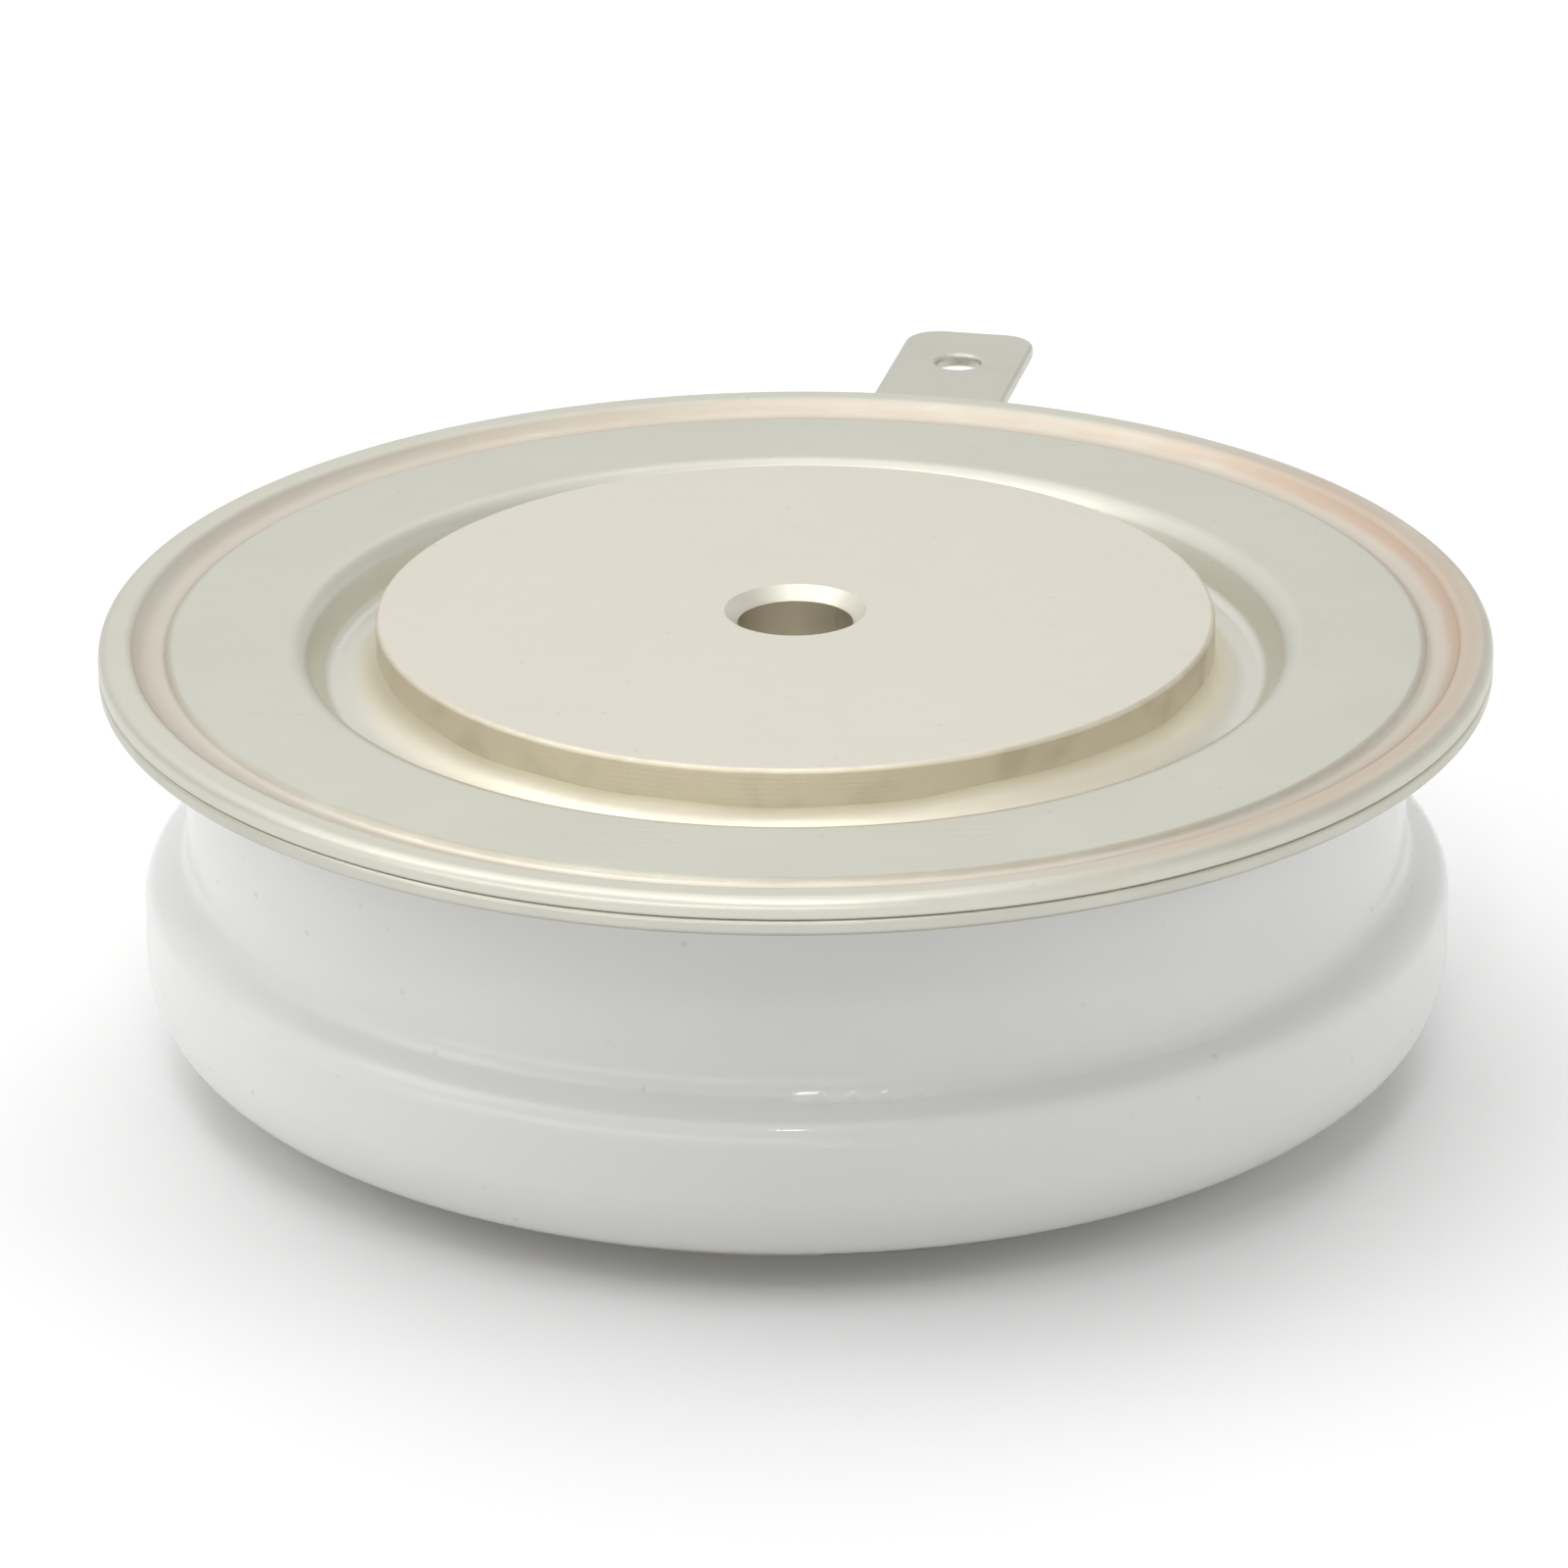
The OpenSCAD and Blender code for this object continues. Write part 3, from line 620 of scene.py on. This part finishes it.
def sheet_finish(name, color, metal, edge_r):
    """Plain plated sheet, with copper showing along a cut edge."""
    sheet = Finish(name, Cloud_Scale=0.3)
    tone = sheet.clouded(color, 0.9, -0.4, 1.3)
    tone = sheet.stain(tone, metal.copper_color, sheet.band(edge_r, 0.25, 0.6), 0.35)
    tone = sheet.stain(tone, metal.tarnish_and_shade_color, sheet.pits, 0.45)
    rough = sheet.patchy(metal.sheet_roughness, 0.06, 0.12)
    marks = sheet.plus(sheet.scratches(1.2), sheet.times(sheet.pits, 2.0))
    normal = sheet.bump(sheet.minus(sheet.grain, marks), PLATE_BUMP)
    return sheet.done(tone, rough, normal, Metallic=1.0)


def glaze_finish(ceramic):
    """White glaze with slow ripples, a few flecks and pin holes."""
    sheet = Finish("White Glaze", Cloud_Scale=0.12, Grain_Scale=2.2, Pit_Scale=0.9)
    tone = sheet.clouded(ceramic.glaze_color, 0.95, -0.4, 1.2)
    tone = sheet.stain(tone, ceramic.fleck_color, sheet.pits, 0.35)
    rough = sheet.spread(sheet.grain, ceramic.glaze_roughness - 0.06, ceramic.glaze_roughness + 0.06)
    ripple = sheet.bump(sheet.noise(sheet.point, 0.35, 1.0, 0.4), 0.05 * MM, 0.6)
    normal = sheet.bump(sheet.grain, 0.002 * MM, 1.0, ripple)
    return sheet.done(tone, rough, normal, IOR=1.5, Coat_Weight=0.5, Coat_Roughness=0.08)


def braze_finish(metal, wall_r, width):
    """Silver braze that takes the convolution's colour, which is painted light, where it runs out onto the
    sheet.
    """
    sheet = Finish("Silver Braze", Cloud_Scale=0.5)
    out = sheet.ease(sheet.radius, wall_r / MM + 0.15, (wall_r + width) / MM)
    tone = sheet.clouded(metal.braze_color, 0.92, -0.4, 1.3)
    tone = sheet.mix(out, tone, opaque(metal.groove_lift_color))
    rough = sheet.spread(sheet.clouds, 0.34, 0.5)
    return sheet.done(tone, rough, sheet.bump(sheet.grain, PLATE_BUMP), Metallic=1.0)


def plain_finish(name, color, roughness, metallic, grain_mm):
    """Inner piece: one colour with clouds, grain and bump."""
    sheet = Finish(name, Cloud_Scale=0.4)
    tone = sheet.clouded(color, 0.86, -0.3, 1.3)
    rough = sheet.patchy(roughness, 0.08, 0.08)
    return sheet.done(tone, rough, sheet.bump(sheet.grain, grain_mm * MM), Metallic=metallic)


# Geometry


def rounded_section(corners):
    """Runs of (radius, height, normal) along a closed section.

    corners are (radius, height, round), with the solid on the left of the walk.
    """
    count = len(corners)
    points = [Vector(corner[:2]) for corner in corners]
    ways = [(points[(i + 1) % count] - points[i]).normalized() for i in range(count)]
    arcs = []
    for i, (point, corner) in enumerate(zip(points, corners)):
        before, after = ways[i - 1], ways[i]
        turn = math.atan2(before.x * after.y - before.y * after.x, before.dot(after))
        if corner[2] <= 0.0:
            arcs.append([(point, None)])
            continue
        start = point - before * corner[2] * math.tan(abs(turn) / 2.0)
        side = math.copysign(1.0, turn)
        middle = start + side * corner[2] * Vector((-before.y, before.x))
        heading = math.atan2(before.y, before.x)
        arc = []
        for k in range(BEND_STEPS + 1):
            angle = heading + turn * k / BEND_STEPS
            normal = Vector((math.sin(angle), -math.cos(angle)))
            arc.append((middle + side * corner[2] * normal, normal))
        arcs.append(arc)
    runs = []
    for i in range(count):
        if len(arcs[i]) > 1:
            runs.append(arcs[i])
        flat = Vector((ways[i].y, -ways[i].x))
        runs.append([(arcs[i][-1][0], flat), (arcs[(i + 1) % count][0][0], flat)])
    return runs


def revolve(name, corners, material):
    """Smooth ring with true normals from a section with rounded corners."""
    rings, faces, normals, keys = [], [], [], {}
    sides = RING_SIDES

    def ring_of(point):
        key = (round(point.x, 9), round(point.y, 9))
        if key not in keys:
            keys[key] = len(rings)
            rings.append(point)
        return keys[key]

    turns = [math.tau * i / sides for i in range(sides)]
    around = [(math.sin(turn), math.cos(turn)) for turn in turns]
    for run in rounded_section(corners):
        for (low, low_n), (high, high_n) in zip(run, run[1:]):
            a, b = ring_of(low), ring_of(high)
            if a == b:
                continue
            for i in range(sides):
                j = (i + 1) % sides
                faces.append((a * sides + j, a * sides + i, b * sides + i, b * sides + j))
                for k, normal in ((j, low_n), (i, low_n), (i, high_n), (j, high_n)):
                    normals.append((normal.x * around[k][0], normal.x * around[k][1], normal.y))
    verts = [(ring.x * x, ring.x * y, ring.y) for ring in rings for x, y in around]
    piece = mesh_piece(name, verts, faces, material)
    piece.data.normals_split_custom_set(normals)
    return piece


def fillet_ring(name, place, legs, overlap, up, material,
                axis=None, bow=1.0, sides=RING_SIDES):
    """Hollow fillet outside a round wall, in the corner that it makes with a flat sheet.

    place is the corner's (radius, height), legs are its (width, height), and up is +1 above
    the sheet and -1 below it. The legs vary a little round the ring, as braze flows. The ring
    stands on the capsule's axis, or where axis takes it, bent down along X to the radius bow.
    """
    radius, height = place
    verts, faces, normals = [], [], []
    count = BEND_STEPS + 4
    for i in range(sides):
        turn = math.tau * i / sides
        sway = sum((share * math.sin(waves * turn + start) for share, waves, start in SWAY), 1.0)
        wide, tall = sway * legs[0], sway * legs[1]
        section = [(-overlap, -overlap, 0.0, 1.0), (wide + overlap, -overlap, 0.0, 1.0)]
        for k in range(BEND_STEPS + 1):
            angle = 0.5 * math.pi * k / BEND_STEPS
            slant = math.hypot(tall * math.sin(angle), wide * math.cos(angle))
            section.append((wide * (1.0 - math.sin(angle)), tall * (1.0 - math.cos(angle)),
                            tall * math.sin(angle) / slant, wide * math.cos(angle) / slant))
        section.append((-overlap, tall + overlap, 1.0, 0.0))
        for out, lift, normal_out, normal_up in section:
            r = radius + out
            verts.append((r * math.sin(turn), r * math.cos(turn), height + up * lift))
            normals.append((normal_out * math.sin(turn), normal_out * math.cos(turn), up * normal_up))
    for i in range(sides):
        j = (i + 1) % sides
        for k in range(count):
            n = (k + 1) % count
            quad = (j * count + k, i * count + k, i * count + n, j * count + n)
            faces.append(quad if up > 0 else tuple(reversed(quad)))
    if axis is not None:
        verts = [axis @ Vector((x, y, z - 0.5 * x * x / bow)) for x, y, z in verts]
        normals = [axis.to_3x3() @ Vector(normal) for normal in normals]
    piece = mesh_piece(name, verts, faces, material)
    piece.data.normals_split_custom_set_from_vertices(normals)
    return piece


def arc_points(middle, radius, start, end, steps=BEND_STEPS):
    """Points on an arc between two angles in degrees."""
    angles = [math.radians(start + (end - start) * k / steps) for k in range(steps + 1)]
    return [(middle[0] + radius * math.cos(a), middle[1] + radius * math.sin(a)) for a in angles]


def plate(name, loops, place, thickness, edge, material):
    """Flat plate with rounded edges from closed outlines; the later outlines are holes."""
    curve = bpy.data.curves.new(name, "CURVE")
    curve.dimensions = "2D"
    curve.fill_mode = "BOTH"
    curve.extrude = thickness / 2.0 - edge
    curve.bevel_depth = edge
    curve.bevel_resolution = 3
    curve.offset = -edge
    for loop in loops:
        spline = curve.splines.new("POLY")
        spline.points.add(len(loop) - 1)
        for point, (x, y) in zip(spline.points, loop):
            point.co = (x, y, 0.0, 1.0)
        spline.use_cyclic_u = True
    shape = bpy.data.objects.new(name + "_outline", curve)
    mesh = bpy.data.meshes.new_from_object(shape)
    bpy.data.objects.remove(shape)
    mesh.transform(place)
    verts = [tuple(v.co) for v in mesh.vertices]
    faces = [tuple(f.vertices) for f in mesh.polygons]
    bpy.data.meshes.remove(mesh)
    piece = mesh_piece(name, verts, faces, material)
    piece.data.set_sharp_from_angle(angle=SHARP_ANGLE)
    return piece


def new_mesh(name, verts, faces, material):
    """Mesh object in the scene."""
    mesh = bpy.data.meshes.new(name)
    mesh.from_pydata(verts, [], faces)
    mesh.materials.append(material)
    made = bpy.data.objects.new(name, mesh)
    bpy.context.scene.collection.objects.link(made)
    return made


def mesh_piece(name, verts, faces, material):
    """Smooth mesh object that rides on the capsule."""
    piece = new_mesh(name, verts, faces, material)
    piece.data.polygons.foreach_set("use_smooth", [True] * len(faces))
    piece.data.update()
    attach(piece, "root")
    return piece


# Stage


def build_floor(stage):
    """Pale floor that keeps the shadow."""
    material = bpy.data.materials.new("Pale Floor")
    sheet = NodeSheet(emptied(material))
    paint = sheet.add("ShaderNodeBsdfDiffuse", {"Color": opaque(stage.floor_color)})
    lift = sheet.times(shown_directly(sheet), stage.floor_lift)
    glow = sheet.add("ShaderNodeEmission", {"Strength": lift})
    both = sheet.add("ShaderNodeAddShader")
    sheet.feed(both.inputs[0], paint.outputs["BSDF"])
    sheet.feed(both.inputs[1], glow.outputs["Emission"])
    sheet.show(both.outputs["Shader"])
    signs = ((-1.0, -1.0), (1.0, -1.0), (1.0, 1.0), (-1.0, 1.0))
    corners = [(FLOOR_HALF * x, FLOOR_HALF * y, -FLOOR_DROP) for x, y in signs]
    floor = new_mesh("Floor", corners, [(0, 1, 2, 3)], material)


def shown_directly(sheet):
    """1 for what the camera sees, also by reflection or through glass, and 0 for light."""
    path = sheet.add("ShaderNodeLightPath").outputs
    return sheet.most(path["Is Camera Ray"], sheet.most(path["Is Glossy Ray"], path["Is Transmission Ray"]))


def build_surroundings(scene, stage):
    """White surroundings for the camera and for reflections, and even light for the rest."""
    world = bpy.data.worlds.new("White Studio")
    sheet = NodeSheet(emptied(world))
    back = sheet.add("ShaderNodeBackground", {
        "Color": (1.0, 1.0, 1.0, 1.0), "Strength": sheet.spread(shown_directly(sheet), stage.ambient, 1.0)})
    sheet.show(back.outputs["Background"], "World")
    scene.world = world


def add_softbox(name, place, aim, size, power, reflected=True):
    """Rectangular lamp that faces a point; one that isn't reflected lights matt surfaces alone."""
    lamp = bpy.data.lights.new(name, "AREA")
    lamp.shape = "RECTANGLE"
    lamp.size, lamp.size_y = size
    lamp.energy = power
    holder = bpy.data.objects.new(name, lamp)
    holder.location = place
    holder.rotation_euler = (Vector(aim) - Vector(place)).to_track_quat("-Z", "Y").to_euler()
    holder.visible_camera = False
    holder.visible_glossy = reflected
    bpy.context.scene.collection.objects.link(holder)


def add_card(name, turns, radius, heights, level):
    """Upright card, curved round the capsule between two turns from the rear, for reflections alone."""
    verts, faces = [], []
    for k in range(CARD_STEPS + 1):
        turn = math.radians(turns[0] + (turns[1] - turns[0]) * k / CARD_STEPS)
        for z in heights:
            verts.append((radius * math.sin(turn), radius * math.cos(turn), z))
    for k in range(CARD_STEPS):
        faces.append((2 * k, 2 * k + 1, 2 * k + 3, 2 * k + 2))
    material = bpy.data.materials.new(name)
    sheet = NodeSheet(emptied(material))
    sheet.show(sheet.add("ShaderNodeEmission", {"Strength": level}).outputs["Emission"])
    card = new_mesh(name, verts, faces, material)
    card.visible_camera = False
    card.visible_diffuse = False
    card.visible_transmission = False
    card.visible_shadow = False


def add_camera(scene, stage):
    """Camera that looks down on the rim from the front."""
    rim = Vector((0.0, 0.0, node_top("cathode_lid")))
    out = Vector((0.0, -math.cos(stage.camera_elevation), math.sin(stage.camera_elevation)))
    place = rim + out * stage.camera_distance
    to_rim = -out
    level = Vector((1.0, 0.0, 0.0))
    above = level.cross(to_rim)
    right = level * math.cos(stage.camera_roll) + above * math.sin(stage.camera_roll)
    up = above * math.cos(stage.camera_roll) - level * math.sin(stage.camera_roll)
    widths = SENSOR / stage.camera_focal
    ahead = (to_rim - right * stage.rim_offset[0] * widths + up * stage.rim_offset[1] * widths).normalized()
    right = (right - ahead * right.dot(ahead)).normalized()
    up = right.cross(ahead)
    data = bpy.data.cameras.new("Photo Camera")
    data.sensor_width = SENSOR
    data.lens = stage.camera_focal
    data.clip_start = 0.01
    camera = bpy.data.objects.new("Photo Camera", data)
    turn = Matrix((right, up, -ahead)).transposed().to_4x4()
    camera.matrix_world = Matrix.Translation(place) @ turn
    scene.collection.objects.link(camera)
    scene.camera = camera


# Operators


class CAPSULE_OT_poles(bpy.types.Operator):
    """Finish the two contact poles"""

    bl_idname = "capsule.poles"
    bl_label = "Contact Poles"

    def execute(self, context):
        metal = context.scene.capsule_looks.metal
        finish = pole_finish(metal, HOLE_R, POLE_R, node_top("cathode_pole"))
        dress(finish, "cathode_pole", "anode_pole")
        return {"FINISHED"}


class CAPSULE_OT_lid(bpy.types.Operator):
    """Build the convoluted lid with its weld pinch and lip"""

    bl_idname = "capsule.lid"
    bl_label = "Lid"

    def execute(self, context):
        looks = context.scene.capsule_looks
        lid = looks.lid
        rim_r, lip_z = node_reach("cathode_lid"), node_top("cathode_lid")
        floor_z = node_top("cathode_pole") - lid.floor_drop
        ring_z, pinch_z = lip_z - lid.ring_drop, lip_z - lid.pinch_drop
        under_z = ring_z - lid.sheet
        wall_foot_r = lid.wall_top_r - (ring_z - floor_z) * math.tan(lid.wall_lean)
        across = lid.sheet * (1.0 / math.cos(lid.wall_lean) - math.tan(lid.wall_lean))
        corners = [
            (POLE_R, floor_z - lid.sheet, 0.0),
            (wall_foot_r + across, floor_z - lid.sheet, lid.foot_round + lid.sheet),
            (lid.wall_top_r + across, under_z, lid.top_round - lid.sheet),
            (rim_r, under_z, lid.seam_round),
            (rim_r, lip_z, lid.lip_round),
            (rim_r - lid.lip_inset, lip_z, lid.crest_round),
            (rim_r - lid.pinch_floor_out, pinch_z, lid.gutter_round),
            (rim_r - lid.pinch_floor_in, pinch_z, lid.pinch_round),
            (rim_r - lid.pinch_inset, ring_z, lid.pinch_round),
            (lid.wall_top_r, ring_z, lid.top_round),
            (wall_foot_r, floor_z, lid.foot_round),
            (POLE_R, floor_z, 0.0),
        ]
        piece = revolve("lid", corners, lid_finish(looks.metal, rim_r, lid))
        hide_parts("cathode_lid")
        return {"FINISHED"}


class CAPSULE_OT_sheets(bpy.types.Operator):
    """Build the weld ring, and finish the anode flange"""

    bl_idname = "capsule.sheets"
    bl_label = "Weld Ring and Flange"

    def execute(self, context):
        looks = context.scene.capsule_looks
        metal, lid = looks.metal, looks.lid
        rim_r = node_reach("cathode_lid")
        low_z, high_z = node_bottom("cathode_weld_ring"), node_top("cathode_weld_ring")
        groove_z = low_z + GROOVE_DEPTH
        groove_in, groove_out = rim_r - lid.pinch_floor_in, rim_r - lid.pinch_floor_out
        finish = sheet_finish("Plated Weld Ring", dimmed(metal.sheet_color, 0.92), metal, RING_BORE)
        corners = [
            (RING_BORE, low_z, 0.0),
            (groove_in, low_z, 0.0),
            (groove_in, groove_z, 0.0),
            (groove_out, groove_z, 0.0),
            (groove_out, low_z, 0.0),
            (rim_r, low_z, RING_ROUND),
            (rim_r, high_z, lid.seam_round),
            (RING_BORE, high_z, 0.0),
        ]
        piece = revolve("weld_ring", corners, finish)
        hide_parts("cathode_weld_ring")
        flange_r = node_reach("anode_flange")
        dress(sheet_finish("Plated Flange", metal.sheet_color, metal, flange_r), "anode_flange")
        return {"FINISHED"}


class CAPSULE_OT_cathode_tab(bpy.types.Operator):
    """Build the auxiliary cathode tab"""

    bl_idname = "capsule.cathode_tab"
    bl_label = "Auxiliary Cathode Tab"

    def execute(self, context):
        looks = context.scene.capsule_looks
        tab = looks.tab
        rim_r = node_reach("cathode_lid")
        low_z, high_z = node_bottom("cathode_weld_ring"), node_top("cathode_weld_ring")
        half, end = tab.width / 2.0, rim_r + tab.reach
        root_x = half + tab.root
        root_y = math.sqrt((rim_r + tab.root) ** 2 - root_x ** 2)
        lean = math.degrees(math.atan2(root_y, root_x))
        inner = (rim_r - TAB_ROOT_DEPTH) / (rim_r + tab.root)
        right = [(root_x * inner, root_y * inner)]
        right += arc_points((root_x, root_y), tab.root, 180.0 + lean, 180.0)
        right += arc_points((half - tab.corner, end - tab.corner), tab.corner, 0.0, 90.0)
        outline = right + [(-x, y) for x, y in reversed(right)]
        last = 360.0 - 360.0 / TAB_HOLE_SIDES
        hole = arc_points((0.0, end - tab.hole_inset), tab.hole / 2.0, 0.0, last, TAB_HOLE_SIDES - 1)
        lift = Matrix.Translation((0.0, 0.0, 0.5 * (low_z + high_z)))
        place = lift @ Matrix.Rotation(-tab.turn, 4, "Z")
        thickness = high_z - low_z - TAB_CLEARANCE
        finish = sheet_finish("Plated Tab", dimmed(looks.metal.sheet_color, 0.94), looks.metal, end)
        plate("cathode_tab", [outline, hole], place, thickness, tab.edge, finish)
        return {"FINISHED"}


class CAPSULE_OT_ceramic(bpy.types.Operator):
    """Finish the glazed ceramic ring"""

    bl_idname = "capsule.ceramic"
    bl_label = "Ceramic Ring"

    def execute(self, context):
        dress(glaze_finish(context.scene.capsule_looks.ceramic), "ceramic_ring")
        return {"FINISHED"}


class CAPSULE_OT_gate_terminal(bpy.types.Operator):
    """Finish the gate tube, its tab and the wire in it"""

    bl_idname = "capsule.gate_terminal"
    bl_label = "Gate Terminal"

    def execute(self, context):
        metal = context.scene.capsule_looks.metal
        tab_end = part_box("gate_tab")[1].y
        finish = sheet_finish("Plated Terminal", dimmed(metal.sheet_color, 0.95), metal, tab_end)
        dress(finish, "gate_tube", "gate_tab")
        dress(plain_finish("Silver Wire", (0.8, 0.79, 0.76), 0.35, 1.0, 0.003), "gate_wire")
        return {"FINISHED"}


class CAPSULE_OT_silicon_stack(bpy.types.Operator):
    """Finish the discs, the wafer and the rings inside the capsule"""

    bl_idname = "capsule.silicon_stack"
    bl_label = "Silicon Stack"

    def execute(self, context):
        silver = plain_finish("Silver Foil", (0.84, 0.83, 0.8), 0.3, 1.0, 0.003)
        dress(silver, "anode_foil", "cathode_foil")
        moly = plain_finish("Lapped Molybdenum", (0.46, 0.46, 0.48), 0.42, 1.0, 0.005)
        dress(moly, "anode_moly_disc", "cathode_moly_disc")
        dress(plain_finish("Metallised Silicon", (0.3, 0.32, 0.36), 0.22, 1.0, 0.002), "silicon_wafer")
        dress(plain_finish("Silicone Rubber", (0.42, 0.1, 0.06), 0.6, 0.0, 0.02), "edge_rubber")
        dress(plain_finish("Fluoroplastic", (0.82, 0.82, 0.79), 0.5, 0.0, 0.01), "locating_ring")
        return {"FINISHED"}


class CAPSULE_OT_gate_contact(bpy.types.Operator):
    """Finish the sprung gate contact inside the pole"""

    bl_idname = "capsule.gate_contact"
    bl_label = "Gate Contact"

    def execute(self, context):
        dress(plain_finish("Silver Pin", (0.82, 0.8, 0.76), 0.3, 1.0, 0.003), "gate_contact_pin")
        dress(plain_finish("Spring Wire", (0.5, 0.5, 0.51), 0.32, 1.0, 0.003), "gate_spring")
        dress(plain_finish("Mica Washer", (0.52, 0.42, 0.26), 0.4, 0.0, 0.008), "gate_spring_seat")
        cup = plain_finish("Insulating Cup", (0.84, 0.83, 0.8), 0.5, 0.0, 0.01)
        dress(cup, "gate_insulator", "gate_sleeve")
        return {"FINISHED"}


class CAPSULE_OT_braze(bpy.types.Operator):
    """Add the braze fillets at the joints of poles, sheets and ceramic"""

    bl_idname = "capsule.braze"
    bl_label = "Braze Fillets"

    def execute(self, context):
        looks = context.scene.capsule_looks
        braze = looks.braze
        finish = braze_finish(looks.metal, POLE_R, braze.pole_width)
        cathode = (POLE_R, node_top("cathode_pole") - looks.lid.floor_drop)
        anode = (POLE_R, node_bottom("anode_flange"))
        neck = (NECK_R, node_top("ceramic_ring"))
        for name, place, legs, up, slot in (
                ("braze_cathode_pole", cathode, (braze.pole_width, braze.pole_height), 1, "plated_copper"),
                ("braze_anode_pole", anode, (braze.anode_leg, braze.anode_leg), -1, "plated_copper"),
                ("braze_ceramic", neck, (braze.ceramic_leg, braze.ceramic_leg), -1, "plated_sheet")):
            fillet_ring(name, place, legs, braze.overlap, up, finish)
        tube_low, tube_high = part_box("gate_tube")
        middle = 0.5 * (tube_low + tube_high)
        out = Vector((middle.x, middle.y, 0.0)).normalized()
        mouth = out * NECK_R + Vector((0.0, 0.0, middle.z))
        axis = Matrix.Translation(mouth) @ out.to_track_quat("Z", "Y").to_matrix().to_4x4()
        tube_r = 0.5 * (tube_high.z - tube_low.z)
        legs = (braze.tube_leg, braze.tube_leg)
        fillet_ring("braze_gate_tube", (tube_r, 0.0), legs, 2.0 * braze.overlap, 1, finish,
                    axis, NECK_R, TUBE_SIDES)
        return {"FINISHED"}


class CAPSULE_OT_stage(bpy.types.Operator):
    """Build the floor, the lamps, the surroundings and the camera"""

    bl_idname = "capsule.stage"
    bl_label = "Stage"

    def execute(self, context):
        stage = context.scene.capsule_looks.stage
        build_floor(stage)
        build_surroundings(context.scene, stage)
        aim = Vector((0.0, 0.0, 0.5 * (CAD_BOX[0].z + CAD_BOX[1].z)))
        add_softbox("Key Lamp", (-0.45, -0.1, 0.6), aim, (0.9, 0.9), stage.key_power, False)
        add_softbox("Left Lamp", (-0.6, 0.05, 0.25), aim, (0.5, 0.4), stage.left_power, False)
        add_softbox("Right Lamp", (0.6, -0.1, 0.3), aim, (0.4, 0.3), stage.right_power, False)
        add_softbox("Top Lamp", (-0.08, -0.2, 0.75), aim, (0.6, 0.5), stage.top_power)
        add_softbox("Fill Lamp", (0.0, 0.45, 0.8), aim, (1.0, 1.0), stage.fill_power, False)
        add_softbox("Glint Lamp", (-0.004, -0.17, 0.2), aim, (0.02, 0.02), stage.glint_power)
        add_card("Back Card", (-80.0, 15.0), 0.16, (0.075, 0.2), stage.back_card)
        add_card("Back Right Card", (15.0, 60.0), 0.16, (0.075, 0.2), stage.grey_card)
        add_card("Low Back Card", (-80.0, 60.0), 0.16, (0.0, 0.075), stage.side_card)
        add_card("Front Card", (170.0, 245.0), 0.6, (0.02, 0.17), stage.high_card)
        add_card("High Back Card", (-70.0, 25.0), 0.16, (0.2, 0.6), stage.bright_card)
        add_card("High Left Card", (-118.0, -65.0), 0.45, (0.3, 0.9), stage.high_card)
        add_card("Left Card", (-85.0, -40.0), 0.4, (0.0, 0.4), stage.dark_card)
        add_card("Right Card", (35.0, 115.0), 0.75, (0.45, 1.0), stage.dark_card)
        add_card("Low Right Card", (35.0, 115.0), 0.75, (0.0, 0.45), stage.side_card)
        add_camera(context.scene, stage)
        context.scene.view_settings.view_transform = "Standard"
        return {"FINISHED"}


class CAPSULE_PT_looks(bpy.types.Panel):
    """Sidebar panel that lists the steps"""

    bl_idname = "CAPSULE_PT_looks"
    bl_label = "Capsule"
    bl_space_type = "VIEW_3D"
    bl_region_type = "UI"
    bl_category = "Capsule"

    def draw(self, context):
        for operator in STEPS:
            self.layout.operator(operator.bl_idname)


STEPS = (
    CAPSULE_OT_poles,
    CAPSULE_OT_lid,
    CAPSULE_OT_sheets,
    CAPSULE_OT_cathode_tab,
    CAPSULE_OT_ceramic,
    CAPSULE_OT_gate_terminal,
    CAPSULE_OT_silicon_stack,
    CAPSULE_OT_gate_contact,
    CAPSULE_OT_braze,
    CAPSULE_OT_stage,
)
CLASSES = (
    CapsuleMetalSettings,
    CapsuleCeramicSettings,
    CapsuleLidSettings,
    CapsuleTabSettings,
    CapsuleBrazeSettings,
    CapsuleStageSettings,
    CapsuleLooks,
) + STEPS + (CAPSULE_PT_looks,)


def register():
    """Add the settings, the operators and the panel."""
    for kind in CLASSES:
        bpy.utils.register_class(kind)
    bpy.types.Scene.capsule_looks = bpy.props.PointerProperty(type=CapsuleLooks)


def unregister():
    """Take them out again, in reverse order."""
    del bpy.types.Scene.capsule_looks
    for kind in reversed(CLASSES):
        bpy.utils.unregister_class(kind)


def main():
    """Dress the capsule step by step."""
    register()
    bpy.ops.capsule.poles()
    bpy.ops.capsule.lid()
    bpy.ops.capsule.sheets()
    bpy.ops.capsule.cathode_tab()
    bpy.ops.capsule.ceramic()
    bpy.ops.capsule.gate_terminal()
    bpy.ops.capsule.silicon_stack()
    bpy.ops.capsule.gate_contact()
    bpy.ops.capsule.braze()
    bpy.ops.capsule.stage()


if __name__ == "__main__":
    main()
